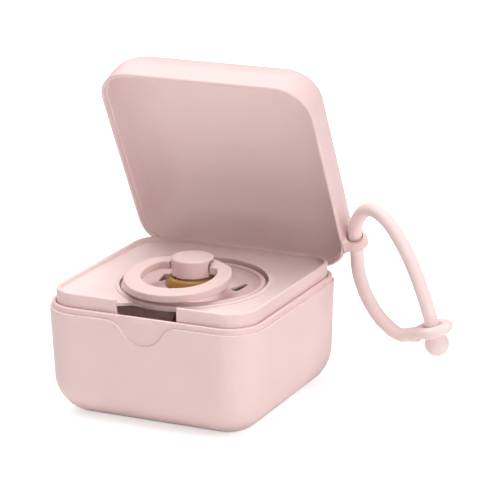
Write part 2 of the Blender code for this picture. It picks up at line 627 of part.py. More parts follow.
def build_shield(material, parent):
    shield = put(turned("pacifier_shield", shield_profile(), closed=True), material, parent=parent)
    for side, name in ((1, "vent_right"), (-1, "vent_left")):
        vent = vent_mesh(name)
        vent.transform(Matrix.Rotation(math.radians(-side * VENT_LEAN_DEG), 4, "Z"))
        shape(shield, vent, "DIFFERENCE", (side * VENT_ASIDE, VENT_BEHIND, 0.0))
    return shield


def nipple_skins():
    """Profiles of the nipple's outside, from the flange down to the tip, and of its inside back up."""
    socket = KNOB_SPIGOT_RADIUS + CLEARANCE
    socket_floor = KNOB_SPIGOT_BOTTOM - CLEARANCE
    seat = CLEARANCE - SHIELD_BOSS_DEPTH
    flange_top = KNOB_FOOT - CLEARANCE
    flange = flange_top - seat
    radius = NIPPLE_FLANGE_RADIUS
    rim_shares = [(0.0, 0.04), (0.42, 0.12), (0.85, 0.38), (1.0, 0.70)]
    rim = [(mix(KNOB_RADIUS, radius, wide), flange_top - flange * down) for wide, down in rim_shares]

    neck_shares = [(0.0, 0.12), (0.10, 0.24), (0.42, 0.38), (0.90, 0.55), (1.0, 0.70)]
    neck = [(mix(NIPPLE_NECK_RADIUS, NIPPLE_BULB_RADIUS, wide), seat - NIPPLE_LENGTH * down)
            for wide, down in neck_shares]
    bulb_foot = neck[-1][1]
    tip = seat - NIPPLE_LENGTH
    cap = [(NIPPLE_BULB_RADIUS * math.cos(turn), mix(bulb_foot, tip, math.sin(turn)))
           for turn in (math.radians(90.0 * step / ROUND_STEPS) for step in range(1, ROUND_STEPS))]
    outside = [(socket, flange_top - NIPPLE_FLANGE_FALL), *rim, (radius, seat),
               (NIPPLE_NECK_RADIUS, seat), *neck, *cap, (0.0, tip)]
    inner_cap = [(r * (1.0 - NIPPLE_WALL / NIPPLE_BULB_RADIUS), height + NIPPLE_WALL) for r, height in cap]
    inner_neck = [(r - NIPPLE_WALL, height) for r, height in neck]
    inside = [(0.0, tip + NIPPLE_WALL), *reversed(inner_cap), *reversed(inner_neck),
              (NIPPLE_NECK_RADIUS - NIPPLE_WALL, socket_floor), (socket, socket_floor)]
    return outside, inside


def build_nipple(material, parent):
    outside, inside = nipple_skins()
    profile = outside + inside
    skins = [circle_ring(radius, height, TURN_STEPS) for radius, height in profile]
    return put(loft("pacifier_nipple", skins, closed=True), material, parent=parent)


def knob_profile():
    edge = arc(KNOB_RADIUS - KNOB_EDGE_ROUND, KNOB_TOP - KNOB_EDGE_ROUND, KNOB_EDGE_ROUND, 0.0, 90.0, 4)
    stem_bottom = KNOB_SPIGOT_BOTTOM - KNOB_STEM_LENGTH
    return [(0.0, stem_bottom), (KNOB_STEM_RADIUS - KNOB_EDGE_ROUND, stem_bottom),
            (KNOB_STEM_RADIUS, stem_bottom + KNOB_EDGE_ROUND), (KNOB_STEM_RADIUS, KNOB_SPIGOT_BOTTOM),
            (KNOB_SPIGOT_RADIUS, KNOB_SPIGOT_BOTTOM), (KNOB_SPIGOT_RADIUS, KNOB_FOOT),
            (KNOB_RADIUS, KNOB_FOOT), *edge, (0.0, KNOB_TOP)]


def ring_pivot_place():
    """The ring's pivot in the pacifier's own frame."""
    return (0.0, KNOB_FORE + RING_PIVOT_BACK, KNOB_FOOT + RING_PIVOT_RISE)


def channel_mesh():
    """The ring's way through the knob, arched in front and behind and up at both sides.

    The front edge is given as shares of its reach and of the height from its foot to the roof.
    """
    front_shares = [(0.60, 0.0), (0.65, 0.18), (0.87, 0.45), (1.0, 0.68), (0.94, 0.86), (0.77, 1.0)]
    back = arc(0.0, 0.0, KNOB_CHANNEL_RADIUS, 0.0, -90.0, 10)
    foot = -math.sqrt(KNOB_CHANNEL_RADIUS ** 2 - (KNOB_CHANNEL_FRONT * front_shares[0][0]) ** 2)
    sides = KNOB_RADIUS + OVERRUN
    low_roof = KNOB_HEIGHT - KNOB_ROOF - RING_PIVOT_RISE
    high_roof = low_roof + KNOB_ARCH_RISE
    rings = []
    for place, roof in ((-sides, high_roof), (-KNOB_RADIUS, high_roof), (-KNOB_ARCH_START, low_roof),
                        (KNOB_ARCH_START, low_roof), (KNOB_RADIUS, high_roof), (sides, high_roof)):
        front = [(-KNOB_CHANNEL_FRONT * reach, mix(foot, roof, rise)) for reach, rise in front_shares]
        outline = [(KNOB_CHANNEL_RADIUS, roof), *back, *front]
        rings.append([Vector((place, y, z)) for y, z in outline])
    return loft("ring_channel", rings)


def build_knob(material, parent):
    mesh = turned("pacifier_knob", knob_profile())
    knob = put(mesh, material, (0.0, KNOB_FORE, 0.0), parent)
    shape(knob, channel_mesh(), "DIFFERENCE", ring_pivot_place())
    return knob


def ring_waist(turn_deg):
    """How far the ring is narrowed at an angle from the knob: 1 in the knob, 0 where it is full."""
    share = (RING_FULL_DEG - min(turn_deg, 360.0 - turn_deg)) / (RING_FULL_DEG - RING_WAIST_DEG)
    share = min(max(share, 0.0), 1.0)
    return share ** 2 * (3.0 - 2.0 * share)


def build_ring(material, parent):
    """The pull ring, in its own plane, with its origin on the pivot in the knob."""
    inset = RING_SECTION_ROUND
    height = RING_THICKNESS / 2 - inset
    sections = []
    for step in range(RING_STEPS):
        turn_deg = 360.0 * step / RING_STEPS
        waist = ring_waist(turn_deg)
        outer = RING_RADIUS + RING_WIDTH / 2 - RING_WAIST_OUTSIDE * waist - inset
        inner = RING_RADIUS - RING_WIDTH / 2 + RING_WAIST_INSIDE * waist + inset
        corners = ((outer, height), (inner, height), (inner, -height), (outer, -height))
        section = []
        for number, (radius, rise) in enumerate(corners):
            section += arc(radius, rise, inset, 90.0 * number, 90.0 * (number + 1), SECTION_STEPS)
        turn = math.radians(turn_deg)
        sections.append([Vector((r * math.sin(turn), r * math.cos(turn), z)) for r, z in section])
    mesh = loft("pacifier_ring", sections, closed=True)
    mesh.transform(Matrix.Translation((0.0, RING_REACH - RING_RADIUS, -RING_DROP)))
    pivot = empty("ring_pivot", ring_pivot_place(), (math.radians(RING_TILT_DEG), 0.0, 0.0), parent)
    return put(mesh, material, parent=pivot)


def smooth_route(route, spacing):
    """Evenly spaced points of a smooth curve through the route's own points."""
    points = [Vector(point) for point in route]
    padded = [2 * points[0] - points[1], *points, 2 * points[-1] - points[-2]]
    fine = []
    for index in range(len(points) - 1):
        before, start, end, after = padded[index:index + 4]
        for step in range(16):
            t = step / 16
            fine.append(0.5 * (2 * start + (end - before) * t
                               + (2 * before - 5 * start + 4 * end - after) * t ** 2
                               + (3 * start - before - 3 * end + after) * t ** 3))
    fine.append(points[-1])
    lengths = [0.0]
    for first, second in zip(fine[:-1], fine[1:]):
        lengths.append(lengths[-1] + (second - first).length)
    count = round(lengths[-1] / spacing)
    spaced = []
    for number in range(count + 1):
        wanted = lengths[-1] * number / count
        index = max(i for i in range(len(fine)) if lengths[i] <= wanted)
        following = min(index + 1, len(fine) - 1)
        gap = lengths[following] - lengths[index]
        share = (wanted - lengths[index]) / gap if gap else 0.0
        spaced.append(fine[index].lerp(fine[following], share))
    return spaced


def facing(direction):
    return direction.to_track_quat("Z", "Y").to_matrix().to_4x4()


def build_strap(material):
    """The strap with its ball and its eye ring, all placed from the middle of the lid's eye."""
    eye_closed = Vector((EYE_X, EYE_Y - HINGE_Y, EYE_Z - HINGE_Z))
    turn = Matrix.Rotation(math.radians(-LID_OPEN_DEG), 4, "X")
    eye = Vector((0.0, HINGE_Y, HINGE_Z)) + turn @ eye_closed
    pivot = empty("strap_swivel", eye)
    points = smooth_route(STRAP_ROUTE, STRAP_SPACING)

    curve = bpy.data.curves.new("strap_cord", "CURVE")
    curve.dimensions = "3D"
    curve.bevel_depth = STRAP_RADIUS
    curve.bevel_resolution = CORD_BEVEL
    curve.use_fill_caps = True
    line = curve.splines.new("POLY")
    line.points.add(len(points) - 1)
    for knot, point in zip(line.points, points):
        knot.co = (*point, 1.0)
    curve.materials.append(material)
    cord = bpy.data.objects.new("strap_cord", curve)
    cord.parent = pivot
    bpy.context.scene.collection.objects.link(cord)

    end = points[-1]
    down = (end - points[-2]).normalized()
    ball_centre = end + down * (BALL_RADIUS + CLEARANCE)
    ball_profile = [(max(radius, 0.0), height)
                    for radius, height in arc(0.0, 0.0, BALL_RADIUS, -90.0, 90.0, FINE_TURN_STEPS // 2)]
    ball_profile[0] = (0.0, -BALL_RADIUS)
    ball_profile[-1] = (0.0, BALL_RADIUS)
    put(turned("strap_ball", ball_profile, FINE_TURN_STEPS), material, ball_centre, pivot)

    half = EYE_RING_THICKNESS / 2
    soft = EYE_RING_EDGE
    inner = STRAP_RADIUS + EYE_RING_PLAY + soft / 2
    ring_profile = [*arc(EYE_RING_RADIUS - soft, half - soft, soft, 0.0, 90.0, SECTION_STEPS),
                    *arc(inner, half - soft / 2, soft / 2, 90.0, 180.0, SECTION_STEPS),
                    *arc(inner, soft / 2 - half, soft / 2, 180.0, 270.0, SECTION_STEPS),
                    *arc(EYE_RING_RADIUS - soft, soft - half, soft, 270.0, 360.0, SECTION_STEPS)]
    ring_mesh = turned("strap_eye_ring", ring_profile, FINE_TURN_STEPS, closed=True)
    ring_mesh.transform(Matrix.Translation(ball_centre - down * BALL_DROP) @ facing(down))
    ring = put(ring_mesh, material, parent=pivot)
    along = (points[0] - points[1]).normalized()
    stub_end = arc(0.0, STRAP_STUB - STRAP_RADIUS / 2, STRAP_RADIUS, 0.0, 90.0, SECTION_STEPS)
    stub_profile = [(0.0, CLEARANCE), (STRAP_RADIUS, CLEARANCE), *stub_end[:-1],
                    (0.0, STRAP_STUB + STRAP_RADIUS / 2)]
    stub = turned("strap_stub", stub_profile, FINE_TURN_STEPS)
    stub.transform(Matrix.Translation(points[0]) @ facing(along))
    shape(ring, stub, "UNION")


clear_scene()
pink = (0.870, 0.640, 0.625)
build_base(plastic("base_pink", pink, 0.5))
build_pin(plastic("pin_pink", pink, 0.45))
build_lid(plastic("lid_pink", pink, 0.5))
build_tray(plastic("tray_pink", pink, 0.5))
pacifier = empty("pacifier_seat", (0.0, DISH_Y, SHIELD_TOP))
build_shield(plastic("shield_pink", pink, 0.45), pacifier)
build_nipple(plastic("latex_amber", (0.420, 0.210, 0.050), 0.35), pacifier)
build_knob(plastic("knob_pink", pink, 0.45), pacifier)
build_ring(plastic("ring_pink", pink, 0.45), pacifier)
build_strap(plastic("strap_silicone", pink, 0.6))
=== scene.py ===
"""Looks of the pacifier sterilizer case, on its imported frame.

The case stands open: base, lid, lift-out tray, pacifier and carrying strap. Metres, +Z up, the
front towards -Y. Every piece is made where it stands.
"""

import math

import bmesh
import bpy
from mathutils import Matrix, Vector


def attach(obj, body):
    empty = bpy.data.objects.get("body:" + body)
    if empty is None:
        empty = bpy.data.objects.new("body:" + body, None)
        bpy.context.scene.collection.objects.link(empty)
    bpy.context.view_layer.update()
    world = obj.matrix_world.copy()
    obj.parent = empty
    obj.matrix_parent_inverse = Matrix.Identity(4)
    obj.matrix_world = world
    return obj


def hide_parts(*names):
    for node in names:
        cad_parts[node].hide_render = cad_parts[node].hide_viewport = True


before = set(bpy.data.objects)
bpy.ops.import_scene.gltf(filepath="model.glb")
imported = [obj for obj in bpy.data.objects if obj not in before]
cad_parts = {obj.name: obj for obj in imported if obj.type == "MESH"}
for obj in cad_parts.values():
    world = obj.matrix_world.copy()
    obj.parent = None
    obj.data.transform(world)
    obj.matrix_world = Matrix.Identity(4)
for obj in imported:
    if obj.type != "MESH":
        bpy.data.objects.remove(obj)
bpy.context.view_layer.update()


# Camera
# The perspective that fits the photograph: where the camera aims, how far off it stands, how it
# is turned, and how long its lens is.

AIM = Vector((0.02104, 0.0, 0.0542))
CAMERA_DISTANCE = 0.82397
AZIMUTH = math.radians(25.396)
ELEVATION = math.radians(16.655)
ROLL = math.radians(-0.635)
back = Vector((math.sin(AZIMUTH) * math.cos(ELEVATION), -math.cos(AZIMUTH) * math.cos(ELEVATION),
               math.sin(ELEVATION)))
level = Vector((math.cos(AZIMUTH), math.sin(AZIMUTH), 0.0))
upright = back.cross(level)
right = math.cos(ROLL) * level + math.sin(ROLL) * upright
up = math.cos(ROLL) * upright - math.sin(ROLL) * level
lens = bpy.data.cameras.new("camera")
lens.lens = 178.64
lens.sensor_width = 36.0
lens.clip_start = 0.05
lens.clip_end = 20.0


def linked(name, data):
    """A new object, in the scene."""
    item = bpy.data.objects.new(name, data)
    bpy.context.scene.collection.objects.link(item)
    return item


camera = linked("camera", lens)
camera.matrix_world = (Matrix.Translation(AIM + back * CAMERA_DISTANCE)
                       @ Matrix((right, up, back)).transposed().to_4x4())
bpy.context.scene.camera = camera


# Base shell
# One injection moulding in pale pink plastic: a big round along the table, a thumb scoop under
# the front ledge, a recessed band that the lid covers, and the middle hinge knuckle. Its inside is
# painted paler and glows through: painted light for the light that soaks through its walls.

CASE_HALF = 0.0390
CASE_CORNER = 0.01255
LEDGE_HEIGHT = 0.0371
BASE_HEIGHT = 0.0390
BASE_DRAFT = 0.0011
BAND_INSET = 0.0008
BAND_HALF = CASE_HALF - BAND_INSET
BAND_CORNER = CASE_CORNER - BAND_INSET
FOOT_REACH = 0.0120
FOOT_RISE = 0.0130
FOOT_CORNER = 0.0030
FOOT_HOLD = 0.0008
LEDGE_ROUND = 0.00022
LEDGE_HOLD = 0.0005
BAND_HOLD = 0.0009
RIM_WALL = 0.0013
RIM_ROUND = 0.0003
TRAY_SEAT = 0.0340
BASE_WALL = 0.0028
BASE_FLOOR = 0.0024
FLOOR_ROUND = 0.0095
SCOOP_HALF = 0.0127
SCOOP_DEPTH = 0.0075
SCOOP_ROUND = 0.0083
CATCH_HALF = 0.0035
CATCH_TOP = BASE_HEIGHT - RIM_ROUND - 0.0001
CATCH_WEDGE = [(0.0004, 0.0), (-0.0001, 0.0), (-0.0005, -0.0010), (-0.0005, -0.0015),
               (0.0004, -0.0015)]
CATCH_EDGE = 0.00018
HINGE = Vector((0.0, 0.0403, 0.0363))
KNUCKLE_RADIUS = 0.0021
KNUCKLE_HALF = 0.0080
KNUCKLE_EDGE = 0.0002
BASE_WEB = [(-0.0027, 0.0), (-0.0027, -0.0055), (-0.00146, -0.0055), (KNUCKLE_RADIUS, -0.0009)]
LID_KNUCKLE_END = 0.0145
PIN_BORE = 0.00112
PIN_BORE_REACH = 0.0095
AIR = 0.0003
FLOOR_FACES_UP = 0.7
CLOUDS = {"Scale": 55.0, "Detail": 4.0}
HANDLING = {"Scale": 210.0, "Detail": 6.0}
SPARKS = {"Scale": 4200.0, "Detail": 3.0}
SPARK_STRENGTH = 0.25
CORNER_STEPS = 16
SIDE_SHARES = [step / 12 for step in range(1, 12)]


def between(low, high, share):
    return low + (high - low) * share


def arc(centre_a, centre_b, radius, first_deg, last_deg, steps):
    """Points of an arc in a plane, both ends included."""
    turns = [math.radians(between(first_deg, last_deg, step / steps)) for step in range(steps + 1)]
    return [(centre_a + radius * math.cos(turn), centre_b + radius * math.sin(turn))
            for turn in turns]


def square_ring(half, corner, height, shares):
    """Points of a rounded square; shares place the points along its rear, left, front and right."""
    centre = half - corner
    quadrants = [(1, 1), (-1, 1), (-1, -1), (1, -1)]
    points = []
    for number, (side_x, side_y) in enumerate(quadrants):
        for step in range(CORNER_STEPS + 1):
            turn = math.radians(90.0 * (number + step / CORNER_STEPS))
            points.append(Vector((side_x * centre + corner * math.cos(turn),
                                  side_y * centre + corner * math.sin(turn), height)))
        next_x, next_y = quadrants[(number + 1) % 4]
        turn = math.radians(90.0 * (number + 1))
        start = points[-1]
        end = Vector((next_x * centre + corner * math.cos(turn),
                      next_y * centre + corner * math.sin(turn), height))
        points += [start.lerp(end, share) for share in shares[number]]
    return points


def mesh_of(form):
    mesh = bpy.data.meshes.new("form")
    form.to_mesh(mesh)
    form.free()
    return mesh


def skin(rings, closed=False):
    """A closed shell through rings of points; a ring of one point is a pole."""
    form = bmesh.new()
    loops = [[form.verts.new(point) for point in ring] for ring in rings]
    pairs = list(zip(loops[:-1], loops[1:]))
    if closed:
        pairs.append((loops[-1], loops[0]))
    for low, high in pairs:
        count = max(len(low), len(high))
        for index in range(count):
            following = (index + 1) % count
            corners = [low[index % len(low)], low[following % len(low)],
                       high[following % len(high)], high[index % len(high)]]
            face = list(dict.fromkeys(corners))
            if len(face) > 2:
                form.faces.new(face)
    if not closed:
        for loop in (loops[0], loops[-1]):
            if len(loop) > 2:
                form.faces.new(loop)
    bmesh.ops.recalc_face_normals(form, faces=form.faces[:])
    return mesh_of(form)


def bar(outline, start, end):
    """Runs an outline of (y, z) points along X."""
    return skin([[Vector((place, y, z)) for y, z in outline] for place in (start, end)])


def rod(radius, start, end, steps=48):
    return bar(arc(0.0, 0.0, radius, 0.0, 360.0 - 360.0 / steps, steps - 1), start, end)


def placed(mesh, matrix):
    mesh.transform(matrix)
    return mesh


def evaluated(item):
    """The plain mesh that an object's modifiers make; the modifiers and the object go."""
    depsgraph = bpy.context.evaluated_depsgraph_get()
    mesh = bpy.data.meshes.new_from_object(item.evaluated_get(depsgraph), depsgraph=depsgraph)
    item.modifiers.clear()
    bpy.data.objects.remove(item, do_unlink=True)
    return mesh


def worked(mesh, kind, tool=None, **settings):
    """The plain mesh that one modifier makes of a mesh, with a second mesh as its tool."""
    item = linked("blank", mesh)
    step = item.modifiers.new(kind, kind)
    if tool is not None:
        settings["object"] = linked("tool", tool)
    for key, value in settings.items():
        setattr(step, key, value)
    result = evaluated(item)
    if tool is not None:
        bpy.data.objects.remove(settings["object"], do_unlink=True)
    return result


def cut(mesh, tool):
    return worked(mesh, "BOOLEAN", tool, operation="DIFFERENCE", solver="EXACT")


def eased(mesh, width, angle_deg=35.0, segments=3):
    """Takes the sharpness off a mesh's hard edges, as a mould does."""
    return worked(mesh, "BEVEL", width=width, segments=segments, limit_method="ANGLE",
                  angle_limit=math.radians(angle_deg), miter_outer="MITER_ARC")


def together(*meshes):
    form = bmesh.new()
    for mesh in meshes:
        form.from_mesh(mesh)
    return mesh_of(form)


def finished(name, mesh, material, body, node, sharp_deg=40.0):
    """Makes the piece: smooth skin, true flats, its material, and its place on the frame."""
    mesh.shade_smooth()
    mesh.set_sharp_from_angle(angle=math.radians(sharp_deg))
    mesh = worked(mesh, "WEIGHTED_NORMAL", keep_sharp=True, weight=60)
    mesh.name = name
    mesh.materials.clear()
    mesh.materials.append(material)
    item = linked(name, mesh)
    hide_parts(node)
    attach(item, body)
    return item


def filled(node, inputs):
    """Sets a node's inputs: to a plain value, or linked from a socket or from each of a list."""
    for key, value in inputs.items():
        sources = value if isinstance(value, list) else [value]
        if isinstance(sources[0], bpy.types.NodeSocket):
            for source in sources:
                node.id_data.links.new(source, node.inputs[key])
        else:
            node.inputs[key].default_value = value
    return node


def add_node(tree, kind, inputs, **settings):
    node = tree.nodes.new(kind)
    for key, value in settings.items():
        setattr(node, key, value)
    return filled(node, inputs)


def moulded(name, light, dark, smooth, rough, grain=0.00003, glow=0.08, depth=0.0012,
            spread=(1.0, 0.45, 0.38), sheen=0.0):
    """A moulded finish: faintly cloudy colour, uneven satin gloss and a fine spark-eroded grain."""
    material = bpy.data.materials.new(name)
    material.use_nodes = True
    tree = material.node_tree
    place = tree.nodes.new("ShaderNodeTexCoord").outputs["Object"]
    cloud, handled, sparks = [
        add_node(tree, "ShaderNodeTexNoise", {"Vector": place, **pattern}).outputs["Fac"]
        for pattern in (CLOUDS, HANDLING, SPARKS)]
    tint = add_node(tree, "ShaderNodeValToRGB", {"Fac": cloud})
    for stop, position, colour in zip(tint.color_ramp.elements, (0.35, 0.65), (dark, light)):
        stop.position = position
        stop.color = (*colour, 1.0)
    gloss = add_node(tree, "ShaderNodeMapRange", {
        "Value": handled, "From Min": 0.3, "From Max": 0.7, "To Min": smooth, "To Max": rough})
    bump = add_node(tree, "ShaderNodeBump", {
        "Height": sparks, "Strength": SPARK_STRENGTH, "Distance": grain})
    filled(tree.nodes["Principled BSDF"], {
        "Base Color": tint.outputs["Color"], "Roughness": gloss.outputs["Result"],
        "Normal": bump.outputs["Normal"], "IOR": 1.47, "Sheen Weight": sheen,
        "Subsurface Weight": glow, "Subsurface Radius": spread, "Subsurface Scale": depth})
    return material


def wall_half(height):
    return CASE_HALF - BASE_DRAFT * (LEDGE_HEIGHT - height) / LEDGE_HEIGHT


def front_ledge():
    """Points and upward normals of the front ledge's line, which dips through the thumb scoop."""
    both = (SCOOP_HALF ** 2 + SCOOP_DEPTH ** 2) / (2 * SCOOP_DEPTH)
    shoulder = both - SCOOP_ROUND
    lean = math.asin(SCOOP_HALF / both)
    low = LEDGE_HEIGHT - SCOOP_DEPTH + SCOOP_ROUND
    end = CASE_HALF - CASE_CORNER
    line = [(between(-end, -SCOOP_HALF, step / 6), LEDGE_HEIGHT, 0.0, 1.0) for step in range(1, 6)]
    for step in range(12):
        turn = lean * step / 12
        line.append((shoulder * math.sin(turn) - SCOOP_HALF,
                     LEDGE_HEIGHT - shoulder * (1.0 - math.cos(turn)),
                     math.sin(turn), math.cos(turn)))
    for step in range(-14, 1):
        turn = lean * step / 14
        line.append((SCOOP_ROUND * math.sin(turn), low - SCOOP_ROUND * math.cos(turn),
                     -math.sin(turn), math.cos(turn)))
    mirrored = [(-x, z, -across, rise) for x, z, across, rise in reversed(line[:-1])]
    return line + mirrored


LEDGE_LINE = front_ledge()
FRONT_SHARES = [0.5 + x / (CASE_HALF - CASE_CORNER) / 2 for x, z, across, rise in LEDGE_LINE]
BASE_SHARES = [SIDE_SHARES, SIDE_SHARES, FRONT_SHARES, SIDE_SHARES]
FRONT_START = 3 * (CORNER_STEPS + 1) + 2 * len(SIDE_SHARES)


def brim_ring(inset, drop):
    """The outline near the ledge, moved in from the wall and down square to the ledge's line."""
    ring = square_ring(wall_half(LEDGE_HEIGHT - drop) - inset, CASE_CORNER - inset,
                       LEDGE_HEIGHT - drop, BASE_SHARES)
    for index, (x, z, across, rise) in enumerate(LEDGE_LINE):
        height = z - rise * drop
        ring[FRONT_START + index] = Vector((x - across * drop, inset - wall_half(height), height))
    return ring


def band_foot():
    """Where the ledge meets the recessed band behind it."""
    ring = square_ring(BAND_HALF, BAND_CORNER, LEDGE_HEIGHT, BASE_SHARES)
    for index, (x, z, across, rise) in enumerate(LEDGE_LINE):
        ring[FRONT_START + index] = Vector((x, -BAND_HALF, z))
    return ring


def base_rings():
    rings = []
    for step in range(21):
        turn = math.radians(90.0 * step / 20)
        lean = 1.0 - math.sin(turn)
        rise = FOOT_RISE * (1.0 - math.cos(turn))
        rings.append(square_ring(wall_half(rise) - FOOT_REACH * lean,
                                 between(CASE_CORNER, FOOT_CORNER, lean), rise, BASE_SHARES))
    hold = FOOT_RISE + FOOT_HOLD
    rings.append(square_ring(wall_half(hold), CASE_CORNER, hold, BASE_SHARES))
    rings.append(brim_ring(0.0, LEDGE_ROUND + LEDGE_HOLD))
    for step in range(5):
        turn = math.radians(90.0 * step / 4)
        rings.append(brim_ring(LEDGE_ROUND * (1.0 - math.cos(turn)),
                               LEDGE_ROUND * (1.0 - math.sin(turn))))
    rings.append(band_foot())
    rim_middle = BAND_HALF - RIM_WALL / 2
    outer = arc(BAND_HALF - RIM_ROUND, BASE_HEIGHT - RIM_ROUND, RIM_ROUND, 0.0, 90.0, 4)
    inner = [(2 * rim_middle - half, height) for half, height in reversed(outer)]
    inside = [(BAND_HALF - RIM_WALL, TRAY_SEAT), (wall_half(TRAY_SEAT) - BASE_WALL, TRAY_SEAT)]
    for half, height in [(BAND_HALF, LEDGE_HEIGHT + BAND_HOLD), *outer, *inner, *inside]:
        rings.append(square_ring(half, CASE_CORNER - CASE_HALF + half, height, BASE_SHARES))
    for step in range(11):
        turn = math.radians(90.0 * step / 10)
        lean = 1.0 - math.cos(turn)
        rise = BASE_FLOOR + FLOOR_ROUND * (1.0 - math.sin(turn))
        half = wall_half(rise) - BASE_WALL - FLOOR_ROUND * lean
        corner = between(CASE_CORNER - BASE_WALL, FOOT_CORNER, lean)
        rings.append(square_ring(half, corner, rise, BASE_SHARES))
    return rings


def catch_pad():
    """The soft-edged wedge on the band that the lid snaps over."""
    outline = [(y - BAND_HALF, CATCH_TOP + z) for y, z in CATCH_WEDGE]
    return eased(bar(outline, -CATCH_HALF, CATCH_HALF), CATCH_EDGE)


def base_knuckle():
    """The middle knuckle with the web that runs down into the rear wall."""
    barrel = arc(0.0, 0.0, KNUCKLE_RADIUS, 0.0, 180.0, 20)
    form = eased(bar([*barrel, *BASE_WEB], -KNUCKLE_HALF, KNUCKLE_HALF), KNUCKLE_EDGE)
    bore = rod(PIN_BORE, -PIN_BORE_REACH, PIN_BORE_REACH)
    return placed(cut(form, bore), Matrix.Translation(HINGE))


def coat(item, material, chosen):
    """Gives a piece's chosen faces a second material."""
    item.data.materials.append(material)
    for face in item.data.polygons:
        if chosen(face.center, face.normal):
            face.material_index = 1


def inside_base(middle, normal):
    """Tells the walls and the floor inside the cup from all other faces."""
    within = max(abs(middle.x), abs(middle.y)) < wall_half(0.0) - BASE_WALL / 2
    inward = normal.x * middle.x + normal.y * middle.y < 0.0 or normal.z > FLOOR_FACES_UP
    return within and inward and BASE_FLOOR / 2 < middle.z < TRAY_SEAT


case_pink = moulded("case_pink_plastic", (0.880, 0.655, 0.635), (0.865, 0.638, 0.618), 0.42, 0.54)
# Painted light: the cup's inside faces are paler than the outside, with full subsurface glow.
inside_painted_glow = moulded("inside_painted_glow_plastic", (0.905, 0.792, 0.785), (0.890, 0.777, 0.770),
                      0.55, 0.65, glow=1.0, depth=0.0032, spread=(1.0, 1.0, 1.0))
groove = placed(rod(KNUCKLE_RADIUS + AIR, -LID_KNUCKLE_END - AIR, LID_KNUCKLE_END + AIR),
                Matrix.Translation(HINGE))
base_mesh = together(cut(skin(base_rings()), groove), catch_pad(), base_knuckle())
base = finished("base_shell_skin", base_mesh, case_pink, "base", "base_shell")
coat(base, inside_painted_glow, inside_base)


# Hinge pin
# A plain pin in the case's own plastic, pushed through the three knuckles, with a small lead-in
# at each end.

PIN_RADIUS = 0.0010
PIN_HALF = 0.0141
PIN_LEAD = 0.0002
pin_profile = [(PIN_RADIUS - PIN_LEAD, -PIN_HALF), (PIN_RADIUS, PIN_LEAD - PIN_HALF),
               (PIN_RADIUS, PIN_HALF - PIN_LEAD), (PIN_RADIUS - PIN_LEAD, PIN_HALF)]
pin_rings = [[Vector((place, across, rise))
              for across, rise in arc(0.0, 0.0, radius, 0.0, 350.0, 35)]
             for radius, place in pin_profile]
pin_mesh = placed(skin(pin_rings), Matrix.Translation(HINGE))
finished("hinge_pin_skin", pin_mesh, case_pink, "base", "hinge_pin")


# Lid shell
# One moulding like the base: a deep domed cap with a thin lip that closes over the base's band,
# a step inside the lip, two hinge knuckles, and the strap's eye on its right side. Its sizes are
# taken shut, and then the whole lid swings open. Under the dome the pink is painted a little
# paler: painted light that lifts the shaded inside.

LID_HALF = 0.03965
LID_FOOT = 0.0374
LID_DEPTH = 0.02049
LID_DRAFT = 0.0009
LID_CORNER = 0.0123
LID_ROUND = 0.0140
LID_TOP_CORNER = 0.0040
LID_LIP = 0.00115
LID_LIP_DEPTH = 0.0020
LID_WALL = 0.00175
LID_EDGE = 0.0008
LID_HOLD = (0.00003, 0.0009)
LID_TOP_HOLD = 0.0008
LIP_EDGE = 0.0002
LIP_SLACK = 0.0001
LID_OPEN_DEG = 63.5
LID_SHARES = [SIDE_SHARES] * 4
LID_WEB = [(KNUCKLE_RADIUS, 0.0009), (-0.0009, 0.0066), (-0.00165, 0.0066)]
LID_WEB_TOUCH_DEG = 141.8
BORE_PAST_KNUCKLE = 0.002
CATCH_ROOM = [(-0.0390, 0.0354), (-0.0359, 0.0354), (-0.0359, 0.0389), (-0.0390, 0.0389)]
CATCH_ROOM_HALF = 0.0040
STRAP_EYE = Vector((0.0424, 0.0282, 0.0414))
EYE_HOLE = 0.0030
EYE_HOLE_REACH = 0.004
EYE_HOLE_EDGE = 0.0003
EYE_OUTER = 0.0042
EYE_HALF_THICKNESS = 0.0018
EYE_EDGE = 0.0006
EYE_CORNER_DEG = 50.0
EYE_FLARE = [(-0.0037, 0.0009), (-0.0026, 0.0009), (-0.0022, 0.0005), (-0.0017, 0.00022),
             (-0.0010, 0.00006), (0.0, 0.0)]
EYE_FLARE_UPWARDS = 0.8
EYE_OVER_LEDGE = LID_FOOT + 0.0003
swing_open = (Matrix.Translation(HINGE) @ Matrix.Rotation(math.radians(-LID_OPEN_DEG), 4, "X")
              @ Matrix.Translation(-HINGE))


def lid_ring(half, height, corner):
    return square_ring(half, corner, height, LID_SHARES)


